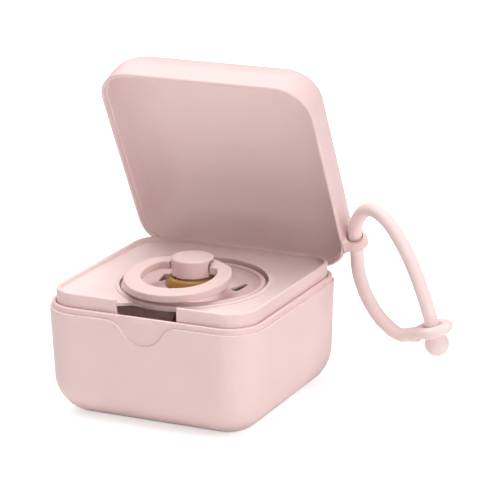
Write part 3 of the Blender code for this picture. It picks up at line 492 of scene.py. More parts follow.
def lid_skin_rings():
    """From the middle of the top, down the outside, round the lip and up the inside."""
    top = LID_FOOT + LID_DEPTH
    dome_foot = top - LID_ROUND
    flat_half = LID_HALF - LID_DRAFT - LID_ROUND - LID_TOP_HOLD
    rings = [lid_ring(flat_half, top, LID_TOP_CORNER - LID_TOP_HOLD)]
    for step in range(21):
        turn = math.radians(90.0 * step / 20)
        lean = 1.0 - math.sin(turn)
        height = dome_foot + LID_ROUND * math.cos(turn)
        half = LID_HALF - LID_DRAFT * (height - LID_FOOT) / LID_DEPTH - LID_ROUND * lean
        rings.append(lid_ring(half, height, between(LID_CORNER, LID_TOP_CORNER, lean)))
    lip_half = LID_HALF - LID_LIP
    wall_inside = LID_HALF - LID_WALL
    shelf = LID_FOOT + LID_LIP_DEPTH
    edge = arc(LID_HALF - LID_EDGE, LID_FOOT + LID_EDGE, LID_EDGE, 0.0, -90.0, 5)
    inner_edge = arc(lip_half + LIP_EDGE, LID_FOOT + LIP_EDGE, LIP_EDGE, 270.0, 180.0, 3)
    step_edge = arc(wall_inside + LIP_EDGE, shelf + LIP_EDGE, LIP_EDGE, 270.0, 180.0, 3)
    hold = (LID_HALF - LID_HOLD[0], LID_FOOT + LID_HOLD[1])
    for half, height in [hold, *edge, *inner_edge, (lip_half, shelf), *step_edge]:
        rings.append(lid_ring(half, height, LID_CORNER - LID_HALF + half))
    inner_round = LID_ROUND - LID_WALL
    for step in range(21):
        turn = math.radians(90.0 * step / 20)
        lean = 1.0 - math.cos(turn)
        height = dome_foot + inner_round * math.sin(turn)
        half = wall_inside - LID_DRAFT * (height - LID_FOOT) / LID_DEPTH - inner_round * lean
        rings.append(lid_ring(half, height, between(LID_CORNER - LID_WALL, LID_TOP_CORNER, lean)))
    rings.append(lid_ring(half - LID_TOP_HOLD, height, LID_TOP_CORNER - LID_TOP_HOLD))
    return rings


def lid_knuckle(start, end):
    """An outer knuckle with the web that runs up into the lid's rear wall."""
    barrel = arc(0.0, 0.0, KNUCKLE_RADIUS, LID_WEB_TOUCH_DEG, 360.0, 24)
    form = eased(bar([*barrel, *LID_WEB], start, end), KNUCKLE_EDGE)
    bore = rod(PIN_BORE, start - BORE_PAST_KNUCKLE, end + BORE_PAST_KNUCKLE)
    return placed(cut(form, bore), Matrix.Translation(HINGE))


def strap_eye():
    """The eye: a rounded tongue that flares into the lid's side, with a hole for the strap.

    Its buried foot is cut short, to stay over the base's ledge when the lid is shut.
    """
    upper = [(x, EYE_OUTER + flare * EYE_FLARE_UPWARDS, flare) for x, flare in EYE_FLARE]
    upper += [(x, z, 0.0) for x, z in arc(0.0, 0.0, EYE_OUTER, 90.0, 0.0, 18)[1:]]
    lower = [(x, -z, flare) for x, z, flare in upper[:-1]]
    lower[0] = (lower[0][0], EYE_OVER_LEDGE - STRAP_EYE.z, lower[0][2])
    form = bmesh.new()
    sides = []
    for side in (-1, 1):
        high, low = [[form.verts.new((x, side * (EYE_HALF_THICKNESS + flare), z))
                      for x, z, flare in line] for line in (upper, lower)]
        low.append(high[-1])
        for index in range(len(upper) - 1):
            face = [high[index], high[index + 1], low[index + 1], low[index]]
            form.faces.new(list(dict.fromkeys(face)))
        sides.append(high + low[-2::-1])
    count = len(sides[0])
    for index in range(count):
        following = (index + 1) % count
        form.faces.new([sides[0][index], sides[0][following], sides[1][following], sides[1][index]])
    bmesh.ops.recalc_face_normals(form, faces=form.faces[:])
    mesh = eased(mesh_of(form), EYE_EDGE, EYE_CORNER_DEG, 5)
    hole = placed(rod(EYE_HOLE, -EYE_HOLE_REACH, EYE_HOLE_REACH, 64),
                  Matrix.Rotation(math.radians(90.0), 4, "Z"))
    mesh = eased(cut(mesh, hole), EYE_HOLE_EDGE, EYE_CORNER_DEG, 4)
    return placed(mesh, Matrix.Translation(STRAP_EYE))


def inside_lid(middle, normal):
    """Tells the faces under the open lid's dome from all other faces."""
    shut = swing_open.inverted()
    place = shut @ middle - Vector((0.0, 0.0, LID_FOOT))
    within = max(abs(place.x), abs(place.y)) < LID_HALF - LID_LIP + LIP_SLACK
    return within and place.z > 0.0 and (shut.to_3x3() @ normal).dot(place) < 0.0


catch_room = bar(CATCH_ROOM, -CATCH_ROOM_HALF, CATCH_ROOM_HALF)
lid_mesh = together(cut(cut(skin(lid_skin_rings()), groove), catch_room),
                    lid_knuckle(-LID_KNUCKLE_END, -KNUCKLE_HALF - AIR),
                    lid_knuckle(KNUCKLE_HALF + AIR, LID_KNUCKLE_END), strap_eye())
# Painted light: under the dome the same moulding is given a paler pink than outside.
lid_inside_painted_light = moulded("lid_inside_painted_light_plastic", (0.890, 0.724, 0.710), (0.875, 0.707, 0.692), 0.42, 0.54)
lid = finished("lid_shell_skin", placed(lid_mesh, swing_open), case_pink, "lid", "lid_shell")
coat(lid, lid_inside_painted_light, inside_lid)


# Tray
# The thin lift-out tray: a raised rim all round, a plate that falls a little to the round dish,
# the dish's collar with the narrow ledge that the pacifier stands on, and the finger notch. Its
# plate and rim top are painted a paler pink as painted light; its upright sides show the case's
# own pink.

TRAY_HALF = 0.0366
TRAY_CORNER = 0.0100
TRAY_FOOT = 0.0343
TRAY_TOP = 0.0436
TRAY_WALL = 0.0013
TRAY_EDGE = 0.0004
TRAY_HOLD = 0.0010
TRAY_CREASE = 0.0004
PLATE_OUTER = 0.0421
PLATE_INNER = 0.0408
PLATE_WALL = 0.0010
PLATE_SHARES = (0.06, 0.2, 0.35, 0.5, 0.65, 0.8, 0.92, 1.0)
DISH_X = 0.0005
DISH_Y = -0.0010
DISH_LIP = 0.0251
DISH_OUTER = 0.0265
DISH_LEAN = 0.036
DISH_DROP = 0.0001
DISH_TOP = 0.0415
DISH_EDGE = 0.0003
DISH_BROW = DISH_TOP - 0.0010
DISH_FOOT = 0.0388
DISH_CORNER_SWEEP = 52.0
LEDGE_TOP = 0.0384
LEDGE_END = 0.0218
DISH_INSIDE = [(DISH_LIP + 0.0002, DISH_BROW), (DISH_LIP + 0.0003, LEDGE_TOP + 0.0006),
               (DISH_LIP - 0.0001, LEDGE_TOP + 0.00012), (DISH_LIP - 0.0008, LEDGE_TOP - 0.00005),
               (LEDGE_END + 0.0003, LEDGE_TOP - 0.0002), (LEDGE_END, LEDGE_TOP - 0.0005)]
DISH_UNDER = [(LEDGE_END, LEDGE_TOP - 0.0009), (LEDGE_END + 0.0003, LEDGE_TOP - 0.0012),
              (DISH_OUTER - 0.0026, LEDGE_TOP - PLATE_WALL),
              (DISH_OUTER - 0.0003, DISH_FOOT - 0.00018), (DISH_OUTER, DISH_FOOT),
              (DISH_OUTER + 0.0015, PLATE_INNER - PLATE_WALL)]
NOTCH_X = 0.0007
NOTCH_HALF = 0.01115
NOTCH_FLOOR = 0.0370
NOTCH_HEAD = 0.0456
NOTCH_FRONT = -0.0386
NOTCH_REACH = DISH_OUTER + 0.00002
NOTCH_ROUND = 0.0040
NOTCH_EDGE = 0.00022
SIDE_FROM = DISH_OUTER + 0.002
SIDE_FACES_OUT = 0.5
TRAY_SHARES = [SIDE_SHARES] * 4


def dish_ring(radius, height):
    """A circle whose points answer those of the tray's square rings.

    Above the pacifier's ledge it leans with the lip, which is lower in front.
    """
    lift = min(1.0, max(0.0, (height - LEDGE_TOP) / (DISH_BROW - LEDGE_TOP)))
    side_sweep = 90.0 - DISH_CORNER_SWEEP
    points = []
    for number in range(4):
        first = 90.0 * number + 45.0 - DISH_CORNER_SWEEP / 2
        angles = [first + DISH_CORNER_SWEEP * step / CORNER_STEPS
                  for step in range(CORNER_STEPS + 1)]
        angles += [first + DISH_CORNER_SWEEP + side_sweep * share for share in SIDE_SHARES]
        for angle in angles:
            behind = radius * math.sin(math.radians(angle))
            points.append(Vector((DISH_X + radius * math.cos(math.radians(angle)), DISH_Y + behind,
                                  height + lift * (DISH_LEAN * behind - DISH_DROP))))
    return points


def tray_rings():
    """Up the side, over the rim, down the plate into the dish, and back underneath."""
    inner = TRAY_HALF - TRAY_WALL
    rim_out = arc(TRAY_HALF - TRAY_EDGE, TRAY_TOP - TRAY_EDGE, TRAY_EDGE, 0.0, 90.0, 5)
    rim_in = arc(inner + TRAY_EDGE, TRAY_TOP - TRAY_EDGE, TRAY_EDGE, 90.0, 180.0, 5)
    crease = arc(inner - TRAY_CREASE, PLATE_OUTER + TRAY_CREASE, TRAY_CREASE, 0.0, -90.0, 4)
    side = [(TRAY_HALF, TRAY_FOOT), (TRAY_HALF, TRAY_TOP - TRAY_HOLD), *rim_out, *rim_in, *crease]
    rings = [square_ring(half, TRAY_CORNER - TRAY_HALF + half, height, TRAY_SHARES)
             for half, height in side]
    plate_start = rings[-1]
    plate_end = dish_ring(DISH_OUTER, PLATE_INNER)
    for share in PLATE_SHARES:
        rings.append([a.lerp(b, share) for a, b in zip(plate_start, plate_end)])
    dish = [*arc(DISH_OUTER - DISH_EDGE, DISH_TOP - DISH_EDGE, DISH_EDGE, 0.0, 90.0, 4),
            *arc(DISH_LIP + DISH_EDGE, DISH_TOP - DISH_EDGE, DISH_EDGE, 90.0, 180.0, 4),
            *DISH_INSIDE, *DISH_UNDER]
    rings += [dish_ring(radius, height) for radius, height in dish]
    under = square_ring(inner, TRAY_CORNER - TRAY_WALL, PLATE_OUTER - PLATE_WALL, TRAY_SHARES)
    for share in (0.25, 0.5, 0.75):
        rings.append([a.lerp(b, share) for a, b in zip(rings[-1], under)])
    rings += [under, square_ring(inner, TRAY_CORNER - TRAY_WALL, TRAY_FOOT, TRAY_SHARES)]
    return rings


def notch_tool():
    """The finger notch, from the tray's front side back to the dish's wall."""
    corner_x = NOTCH_HALF - NOTCH_ROUND
    corner_y = DISH_Y - math.sqrt((NOTCH_REACH + NOTCH_ROUND) ** 2 - corner_x ** 2)
    meet = math.degrees(math.atan2(DISH_Y - corner_y, corner_x))
    wall = arc(0.0, DISH_Y, NOTCH_REACH, meet - 180.0, -meet, 40)
    left = arc(-corner_x, corner_y, NOTCH_ROUND, 180.0, meet, 8)
    right_side = arc(corner_x, corner_y, NOTCH_ROUND, 180.0 - meet, 0.0, 8)
    outline = [*left[:-1], *wall, *right_side[1:],
               (NOTCH_HALF, NOTCH_FRONT), (-NOTCH_HALF, NOTCH_FRONT)]
    return skin([[Vector((NOTCH_X + x, y, height)) for x, y in outline]
                 for height in (NOTCH_FLOOR, NOTCH_HEAD)])


def tray_side(middle, normal):
    """Tells the rim's upright outer side from all other faces."""
    reach = max(abs(middle.x), abs(middle.y))
    outward = (normal.x * middle.x + normal.y * middle.y) / middle.xy.length
    return reach > SIDE_FROM and outward > SIDE_FACES_OUT


# Painted light: the tray's plate and rim top are paler than its upright sides.
tray_painted_light = moulded("tray_painted_light_plastic", (0.888, 0.714, 0.699), (0.871, 0.694, 0.678), 0.40, 0.52)
tray_mesh = eased(cut(skin(tray_rings(), closed=True), notch_tool()), NOTCH_EDGE)
tray = finished("tray_skin", tray_mesh, tray_painted_light, "tray", "inner_tray")
coat(tray, case_pink, tray_side)


# Pacifier shield
# A round bowl-shaped plate, moulded in a deeper pink, with a rolled bead, a vent slot at each
# side and a low boss under the knob.

SHIELD_TOP = 0.0411
SHIELD_RADIUS = 0.02455
BEAD_RADIUS = 0.0012
SHIELD_WALL = 0.0008
SHIELD_EDGE = 0.00018
SHIELD_BOWL = [(0.0050, -0.0012), (0.0093, -0.0012), (0.0099, -0.00124), (0.0106, -0.00140),
               (0.0134, -0.00216), (0.0143, -0.00236), (0.0153, -0.00244), (0.0165, -0.00234),
               (0.0196, -0.00184), (0.0206, -0.00166), (0.0213, -0.00142)]
VENT_LENGTH = 0.0082
VENT_WIDTH = 0.0030
VENT_END_ROUND = VENT_WIDTH / 2 - 0.00001
VENT_MIDDLE = (0.0140, 0.0062)
VENT_LEAN_DEG = 10.0
PUNCH_HEIGHT = 0.010
PACIFIER_AXIS = Vector((0.0, DISH_Y, SHIELD_TOP))
SHIELD_MIDDLE = PACIFIER_AXIS + Vector((0.0004, 0.0, 0.0))


def turned(profile, steps=128, closed=False):
    """Turns a profile of (radius, height) points about the upright axis."""
    turns = [math.tau * step / steps for step in range(steps)]
    rings = []
    for radius, height in profile:
        if radius == 0.0:
            rings.append([Vector((0.0, 0.0, height))])
        else:
            rings.append([Vector((radius * math.cos(turn), radius * math.sin(turn), height))
                          for turn in turns])
    return skin(rings, closed)


def node_tree(name, numbers, material):
    """A new node tree with named inputs, and what a modifier sets them to, by identifier."""
    tree = bpy.data.node_groups.new(name, "GeometryNodeTree")
    tree.interface.new_socket(name="Source", in_out="INPUT", socket_type="NodeSocketGeometry")
    settings = {}
    for label, value in numbers.items():
        kind = "NodeSocketInt" if isinstance(value, int) else "NodeSocketFloat"
        socket = tree.interface.new_socket(name=label, in_out="INPUT", socket_type=kind)
        socket.default_value = value
        settings[socket.identifier] = value
    surface = tree.interface.new_socket(name="Surface", in_out="INPUT",
                                        socket_type="NodeSocketMaterial")
    settings[surface.identifier] = material
    tree.interface.new_socket(name="Made", in_out="OUTPUT", socket_type="NodeSocketGeometry")
    return tree, tree.nodes.new("NodeGroupInput").outputs, settings


def oblong(tree, width, height, corner, steps):
    """A closed oblong curve with round corners."""
    sharp = add_node(tree, "GeometryNodeCurvePrimitiveQuadrilateral", {
        "Width": width, "Height": height})
    soft = add_node(tree, "GeometryNodeFilletCurve", {
        "Curve": sharp.outputs["Curve"], "Radius": corner, "Count": steps}, mode="POLY")
    return soft.outputs["Curve"]


def grown(tree, given, made, settings, item=None):
    """Ends a node tree, and gives the plain mesh that it makes of an object, by default empty."""
    real = add_node(tree, "GeometryNodeRealizeInstances", {"Geometry": made})
    dress = add_node(tree, "GeometryNodeSetMaterial", {
        "Geometry": real.outputs["Geometry"], "Material": given["Surface"]})
    add_node(tree, "NodeGroupOutput", {"Made": dress.outputs["Geometry"]})
    item = item or linked("blank", bpy.data.meshes.new("blank"))
    step = item.modifiers.new("nodes", "NODES")
    step.node_group = tree
    for identifier, value in settings.items():
        step[identifier] = value
    return evaluated(item)


def vent_punches(material):
    """Geometry Nodes: one slot-shaped punch with round ends, set at both sides of the shield."""
    tree, given, settings = node_tree("vent_punches", {
        "Length": VENT_LENGTH, "Width": VENT_WIDTH, "End round": VENT_END_ROUND}, material)
    outline = oblong(tree, given["Width"], given["Length"], given["End round"], 12)
    slot = add_node(tree, "GeometryNodeFillCurve", {"Curve": outline}, mode="NGONS")
    raised = add_node(tree, "GeometryNodeExtrudeMesh", {
        "Mesh": slot.outputs["Mesh"], "Offset Scale": PUNCH_HEIGHT, "Individual": False})
    underside = add_node(tree, "GeometryNodeFlipFaces", {"Mesh": slot.outputs["Mesh"]})
    punch = add_node(tree, "GeometryNodeJoinGeometry", {
        "Geometry": [raised.outputs["Mesh"], underside.outputs["Mesh"]]})
    welded = add_node(tree, "GeometryNodeMergeByDistance", {"Geometry": punch.outputs["Geometry"]})
    sides = []
    for side in (1, -1):
        stood = add_node(tree, "GeometryNodeTransform", {
            "Geometry": welded.outputs["Geometry"],
            "Translation": (side * VENT_MIDDLE[0], VENT_MIDDLE[1], -PUNCH_HEIGHT / 2),
            "Rotation": (0.0, 0.0, math.radians(-side * VENT_LEAN_DEG))})
        sides.append(stood.outputs["Geometry"])
    pair = add_node(tree, "GeometryNodeJoinGeometry", {"Geometry": sides})
    return grown(tree, given, pair.outputs["Geometry"], settings)


def shield_profile():
    bead = arc(SHIELD_RADIUS - BEAD_RADIUS, -BEAD_RADIUS, BEAD_RADIUS, 165.0, -120.0, 28)
    underside = [(radius, height - SHIELD_WALL) for radius, height in reversed(SHIELD_BOWL)]
    return [*SHIELD_BOWL, *bead, *underside]


pacifier_pink = moulded("pacifier_pink_plastic", (0.800, 0.608, 0.592), (0.778, 0.585, 0.570),
                        0.34, 0.46)
shield_mesh = cut(turned(shield_profile(), 144, closed=True), vent_punches(pacifier_pink))
shield_mesh = placed(eased(shield_mesh, SHIELD_EDGE), Matrix.Translation(SHIELD_MIDDLE))
finished("shield_skin", shield_mesh, pacifier_pink, "pacifier", "pacifier_shield")


# Nipple
# Dip-moulded amber latex: a flange that shows under the knob, a neck through the shield and a
# round hollow bulb below.

NIPPLE_FLANGE = [(0.0062, 0.0016), (0.0067, 0.00192), (0.0072, 0.00214), (0.0076, 0.00210),
                 (0.0080, 0.00192), (0.0084, 0.00160), (0.0088, 0.00105), (0.00905, 0.0004),
                 (0.0091, -0.0002), (0.0090, -0.0007), (0.0088, -0.0009), (0.0060, -0.0009),
                 (0.0049, -0.0010), (0.0047, -0.0014)]
NIPPLE_MOUTH = [(0.0036, -0.0003), (0.0062, -0.0003)]
NIPPLE_SEAT = -0.0009
NIPPLE_BULB = 0.00840
NIPPLE_NECK = [(0.00470, 0.12), (0.00478, 0.18), (0.00507, 0.24), (0.00560, 0.31), (0.00626, 0.38),
               (0.00710, 0.46), (0.00790, 0.55), (0.00830, 0.62), (NIPPLE_BULB, 0.70)]
NIPPLE_LENGTH = 0.0277
NIPPLE_WALL = 0.0011


def nipple_profile():
    neck = [(radius, NIPPLE_SEAT - NIPPLE_LENGTH * down) for radius, down in NIPPLE_NECK]
    foot = neck[-1][1]
    tip = NIPPLE_SEAT - NIPPLE_LENGTH
    turns = [math.radians(90.0 * step / 14) for step in range(1, 14)]
    cap = [(NIPPLE_BULB * math.cos(turn), between(foot, tip, math.sin(turn))) for turn in turns]
    inner_cap = [(radius * (1.0 - NIPPLE_WALL / NIPPLE_BULB), height + NIPPLE_WALL)
                 for radius, height in cap]
    inner_neck = [(radius - NIPPLE_WALL, height) for radius, height in neck]
    return [*NIPPLE_FLANGE, *neck, *cap, (0.0, tip), (0.0, tip + NIPPLE_WALL), *reversed(inner_cap),
            *reversed(inner_neck), *NIPPLE_MOUTH]


amber_latex = moulded("amber_latex", (0.400, 0.200, 0.045), (0.330, 0.150, 0.030), 0.30, 0.44,
                      grain=0.00002, glow=0.25)
nipple_mesh = placed(turned(nipple_profile(), 96, closed=True), Matrix.Translation(PACIFIER_AXIS))
finished("nipple_skin", nipple_mesh, amber_latex, "pacifier", "pacifier_nipple")


# Knob
# The round cap, moulded like the shield, whose stem clips the pacifier together. An arched
# channel across it holds the ring.

KNOB_RADIUS = 0.0072
KNOB_FOOT = 0.0026
KNOB_TOP = 0.0087
KNOB_EDGE = 0.0008
KNOB_FOOT_EDGE = 0.0002
KNOB_FORE = 0.0003
KNOB_CORE = 0.0059
KNOB_STEM = [(0.0, -0.0061), (0.0022, -0.0061), (0.0030, -0.0053), (0.0030, 0.0001),
             (KNOB_CORE, 0.0001)]
CHANNEL_REACH = 0.00535
CHANNEL_FRONT = [(0.00186, 0.0), (0.00192, 0.09), (0.00202, 0.18), (0.00238, 0.32),
                 (0.00270, 0.45), (0.00298, 0.58), (0.00310, 0.70), (0.00305, 0.80),
                 (0.00288, 0.89), (0.00263, 0.96), (0.00239, 1.0)]
CHANNEL_ROOF = [(0.0050, 0.0016), (0.0060, 0.00166), (0.0066, 0.00178), (0.0072, 0.0020),
                (0.0092, 0.0021)]
CHANNEL_EDGE = 0.00025
RING_PIVOT = Vector((0.0, 0.0012, 0.0061))


def knob_profile():
    edge = arc(KNOB_RADIUS - KNOB_EDGE, KNOB_TOP - KNOB_EDGE, KNOB_EDGE, 0.0, 90.0, 10)
    foot = arc(KNOB_RADIUS - KNOB_FOOT_EDGE, KNOB_FOOT + KNOB_FOOT_EDGE, KNOB_FOOT_EDGE,
               -90.0, 0.0, 3)
    return [*KNOB_STEM, (KNOB_CORE, KNOB_FOOT), *foot, *edge, (0.0, KNOB_TOP)]


def ring_channel():
    """The ring's way through the knob, arched in front and behind, and up at both sides.

    The front is given as its reach and the share of its height from the foot to the roof, and the
    roof as its height at a distance from the middle.
    """
    back_arc = arc(0.0, 0.0, CHANNEL_REACH, 0.0, -90.0, 20)
    foot = -math.sqrt(CHANNEL_REACH ** 2 - CHANNEL_FRONT[0][0] ** 2)
    roof = [(-aside, rise) for aside, rise in reversed(CHANNEL_ROOF)] + CHANNEL_ROOF
    rings = []
    for place, rise in roof:
        front = [(-fore, between(foot, rise, share)) for fore, share in CHANNEL_FRONT]
        outline = [(CHANNEL_REACH, rise), *back_arc, *front]
        rings.append([Vector((place, y, z)) for y, z in outline])
    return skin(rings)


knob_mesh = placed(turned(knob_profile(), 128), Matrix.Translation((0.0, KNOB_FORE, 0.0)))
knob_mesh = cut(knob_mesh, placed(ring_channel(), Matrix.Translation(RING_PIVOT)))
knob_mesh = placed(eased(knob_mesh, CHANNEL_EDGE), Matrix.Translation(PACIFIER_AXIS))
finished("knob_skin", knob_mesh, pacifier_pink, "pacifier", "pacifier_knob")


# Pull ring
# A flat moulded ring with soft edges, hung in the knob's channel and tilted a little up at the
# rear. Its hole is D-shaped: round in front, with a straight bar behind that is cut back where
# the knob holds it.

RING_RADIUS = 0.0152
RING_WIDTH = 0.0059
RING_THICKNESS = 0.0028
RING_EDGE = 0.0005
RING_STEPS = 360
RING_OUTER = 0.01810
RING_WAIST_OUTSIDE = 0.00100
RING_HOLE = 0.0127
RING_HOLE_BEHIND = 0.0011
RING_BAR_FRONT = 0.0089
RING_CORNER = 0.0013
RING_WAIST_INSIDE = 0.01275
RING_WAIST_HALF = 0.00745
RING_WAIST_DEG = 36.0
RING_SHOULDER_DEG = 16.0
RING_BEHIND = 0.0029
RING_BELOW = 0.00065
RING_TILT_DEG = 5.8


def ring_sweep(material):
    """Geometry Nodes: a soft-cornered oblong section swept round a circle."""
    tree, given, settings = node_tree("pull_ring", {
        "Radius": RING_RADIUS, "Width": RING_WIDTH, "Thickness": RING_THICKNESS,
        "Edge round": RING_EDGE}, material)
    path = add_node(tree, "GeometryNodeCurvePrimitiveCircle", {
        "Resolution": RING_STEPS, "Radius": given["Radius"]})
    stood = add_node(tree, "GeometryNodeSetCurveNormal", {"Curve": path.outputs["Curve"]},
                     mode="Z_UP")
    section = oblong(tree, given["Width"], given["Thickness"], given["Edge round"], 6)
    sweep = add_node(tree, "GeometryNodeCurveToMesh", {
        "Curve": stood.outputs["Curve"], "Profile Curve": section})
    return grown(tree, given, sweep.outputs["Mesh"], settings)


def ring_hole(turn):
    """The hole's reach from the ring's middle, at a turn from the middle of its bar."""
    aside = RING_HOLE_BEHIND * math.sin(turn)
    round_part = RING_HOLE_BEHIND * math.cos(turn) + math.sqrt(RING_HOLE ** 2 - aside ** 2)
    if math.cos(turn) < 0.1:
        return round_part
    straight = RING_BAR_FRONT / math.cos(turn)
    mix = min(1.0, max(0.0, 0.5 + (round_part - straight) / RING_CORNER / 2))
    reach = between(round_part, straight, mix) - RING_CORNER * mix * (1.0 - mix)
    if reach * math.sin(turn) > RING_WAIST_HALF:
        return reach
    return min(RING_WAIST_INSIDE, RING_WAIST_HALF / max(math.sin(turn), 0.01))


def ring_mesh():
    """The swept ring, drawn in and out to its hole, its bar and the waist in the knob."""
    mesh = ring_sweep(pacifier_pink)
    for vertex in mesh.vertices:
        x, y, z = vertex.co
        turn = math.atan2(abs(x), y)
        reach = math.hypot(x, y)
        share = (reach - RING_RADIUS) / RING_WIDTH + 0.5
        open_share = min(1.0, max(0.0, (math.degrees(turn) - RING_WAIST_DEG) / RING_SHOULDER_DEG))
        open_share = open_share ** 2 * (3.0 - 2.0 * open_share)
        outer = RING_OUTER - RING_WAIST_OUTSIDE * (1.0 - open_share)
        scale = between(ring_hole(turn), outer, share) / reach
        vertex.co = (x * scale, y * scale, z)
    return mesh


ring_place = (Matrix.Translation(PACIFIER_AXIS + RING_PIVOT)
              @ Matrix.Rotation(math.radians(RING_TILT_DEG), 4, "X")
              @ Matrix.Translation((0.0, RING_BEHIND - RING_RADIUS, -RING_BELOW)))
finished("pull_ring_skin", placed(ring_mesh(), ring_place), pacifier_pink, "ring",
         "pacifier_ring")


# Strap cord
# One round silicone cord through the lid's eye, seen from end to end. It starts in the eye ring,
# loops round through the lid's eye and comes back to the ball. Its route is the solid's own.

CORD_RADIUS = 0.0024
CORD_FACETS = 32
CORD_SPACING = 0.0026
CORD_BURIED = 0.0018
CORD_ROUTE = [
    (0.0248, -0.0130, -0.0269), (0.0219, -0.0126, -0.0275), (0.0189, -0.0116, -0.0268),
    (0.0157, -0.0101, -0.0254), (0.0123, -0.0082, -0.0237), (0.0090, -0.0060, -0.0213),
    (0.0062, -0.0040, -0.0189), (0.0038, -0.0021, -0.0160), (0.0018, -0.0005, -0.0127),
    (0.0005, 0.0006, -0.0089), (0.0001, 0.0011, -0.0051), (0.0000, 0.0001, 0.0000),
    (0.0005, -0.0015, 0.0042), (0.0019, -0.0032, 0.0077), (0.0042, -0.0051, 0.0112),
    (0.0069, -0.0068, 0.0133), (0.0097, -0.0082, 0.0140), (0.0127, -0.0095, 0.0134),
    (0.0154, -0.0105, 0.0118), (0.0179, -0.0113, 0.0098), (0.0216, -0.0124, 0.0054),
    (0.0255, -0.0132, -0.0008), (0.0282, -0.0135, -0.0065), (0.0307, -0.0134, -0.0131),
    (0.0321, -0.0132, -0.0175), (0.0339, -0.0128, -0.0245),
]


def evened(route, spacing):
    """Evenly spaced points of a smooth curve through the route's own points."""
    points = [Vector(point) for point in route]
    padded = [2 * points[0] - points[1], *points, 2 * points[-1] - points[-2]]
    fine = []
    for index in range(len(points) - 1):
        before, start, end, after = padded[index:index + 4]
        for step in range(16):
            t = step / 16
            fine.append(0.5 * (2 * start + (end - before) * t
                               + (2 * before - 5 * start + 4 * end - after) * t ** 2
                               + (3 * start - before - 3 * end + after) * t ** 3))
    fine.append(points[-1])
    lengths = [0.0]
    for first, second in zip(fine[:-1], fine[1:]):
        lengths.append(lengths[-1] + (second - first).length)
    count = round(lengths[-1] / spacing)
    spaced = []
    for number in range(count + 1):
        wanted = lengths[-1] * number / count
        index = max(i for i in range(len(fine)) if lengths[i] <= wanted)
        following = min(index + 1, len(fine) - 1)
        gap = lengths[following] - lengths[index]
        share = (wanted - lengths[index]) / gap if gap else 0.0
        spaced.append(fine[index].lerp(fine[following], share))
    return spaced


def cord_sweep(points, material):
    """Geometry Nodes: a round section swept along the cord's route, with filled ends."""
    tree, given, settings = node_tree("strap_cord", {
        "Radius": CORD_RADIUS, "Facets": CORD_FACETS}, material)
    section = add_node(tree, "GeometryNodeCurvePrimitiveCircle", {
        "Resolution": given["Facets"], "Radius": given["Radius"]})
    sweep = add_node(tree, "GeometryNodeCurveToMesh", {
        "Curve": given["Source"], "Profile Curve": section.outputs["Curve"], "Fill Caps": True})
    curve = bpy.data.curves.new("route", "CURVE")
    curve.dimensions = "3D"
    line = curve.splines.new("POLY")
    line.points.add(len(points) - 1)
    for knot, point in zip(line.points, points):
        knot.co = (*point, 1.0)
    return grown(tree, given, sweep.outputs["Mesh"], settings, linked("route", curve))


strap_silicone = moulded("strap_pink_silicone", (0.945, 0.755, 0.738), (0.925, 0.730, 0.713),
                         0.50, 0.62, grain=0.00002, glow=0.20, sheen=0.10)
eye_middle = swing_open @ STRAP_EYE
hung = [eye_middle + point for point in evened(CORD_ROUTE, CORD_SPACING)]
cord_start = (hung[0] - hung[1]).normalized()
cord_end = (hung[-1] - hung[-2]).normalized()
cord_points = [hung[0] + cord_start * (2 * CORD_BURIED), hung[0] + cord_start * CORD_BURIED,
               *hung, hung[-1] + cord_end * CORD_BURIED]
cord = finished("strap_cord_skin", cord_sweep(cord_points, strap_silicone), strap_silicone, "strap",
                "strap_cord")


# Strap ball
# The ball that the eye ring buttons over, moulded on the cord's end and drawn out into it by a
# short neck.

BALL_RADIUS = 0.0042
BALL_NECK = [(0.0, -0.0066), (0.0012, -0.0066), (0.0022, -0.0060), (0.00262, -0.0050),
             (0.00290, -0.0043), (0.00328, -0.0034)]
BALL_BEYOND = 0.0045
ball_middle = hung[-1] + cord_end * BALL_BEYOND


def aimed(point, direction):
    """Moves an upright thing to a point and turns it along a direction."""
    return Matrix.Translation(point) @ direction.to_track_quat("Z", "Y").to_matrix().to_4x4()


ball_profile = [*BALL_NECK, *arc(0.0, 0.0, BALL_RADIUS, -40.0, 86.0, 30), (0.0, BALL_RADIUS)]
ball_mesh = placed(turned(ball_profile, 64), aimed(ball_middle, cord_end))
ball = finished("strap_ball_skin", ball_mesh, strap_silicone, "strap", "strap_ball")


# Strap eye ring
# The puffy ring at the cord's other end, stretched over the ball's neck. Ring and cord end are one
# moulding, so both are melted into one skin with a soft hollow between them.

EYE_RING_RADIUS = 0.0068
EYE_RING_INNER = 0.0029
EYE_RING_HALF = 0.0018
EYE_RING_LIP = 0.0009
EYE_RING_BEHIND_BALL = 0.0053
EYE_COLLAR = [(0.0, -0.0008), (0.0019, -0.0008), (0.0025, 0.0010), (0.0027, 0.0040), (0.0, 0.0052)]
MELT_GRAIN = 0.00022


def eye_ring_mesh():
    """The ring and a collar round the cord's end, melted together."""
    outer = arc(EYE_RING_RADIUS - EYE_RING_HALF, 0.0, EYE_RING_HALF, -90.0, 90.0, 14)
    inner = [(EYE_RING_INNER + EYE_RING_LIP - EYE_RING_LIP * math.cos(turn),
              EYE_RING_HALF * math.sin(turn))
             for turn in (math.radians(90.0 - 180.0 * step / 10) for step in range(11))]
    place = Matrix.Translation(-cord_end * EYE_RING_BEHIND_BALL) @ aimed(ball_middle, cord_end)
    ring = placed(turned([*outer, *inner], 72, closed=True), place)
    collar = placed(turned(EYE_COLLAR, 48), aimed(hung[0], cord_start))
    blended = worked(ring, "BOOLEAN", collar, operation="UNION", solver="EXACT")
    blended = worked(blended, "REMESH", mode="VOXEL", voxel_size=MELT_GRAIN, use_smooth_shade=True)
    return worked(blended, "SMOOTH", factor=0.5, iterations=14)


eye_ring = finished("strap_eye_ring_skin", eye_ring_mesh(), strap_silicone, "strap",
                    "strap_eye_ring", 180.0)


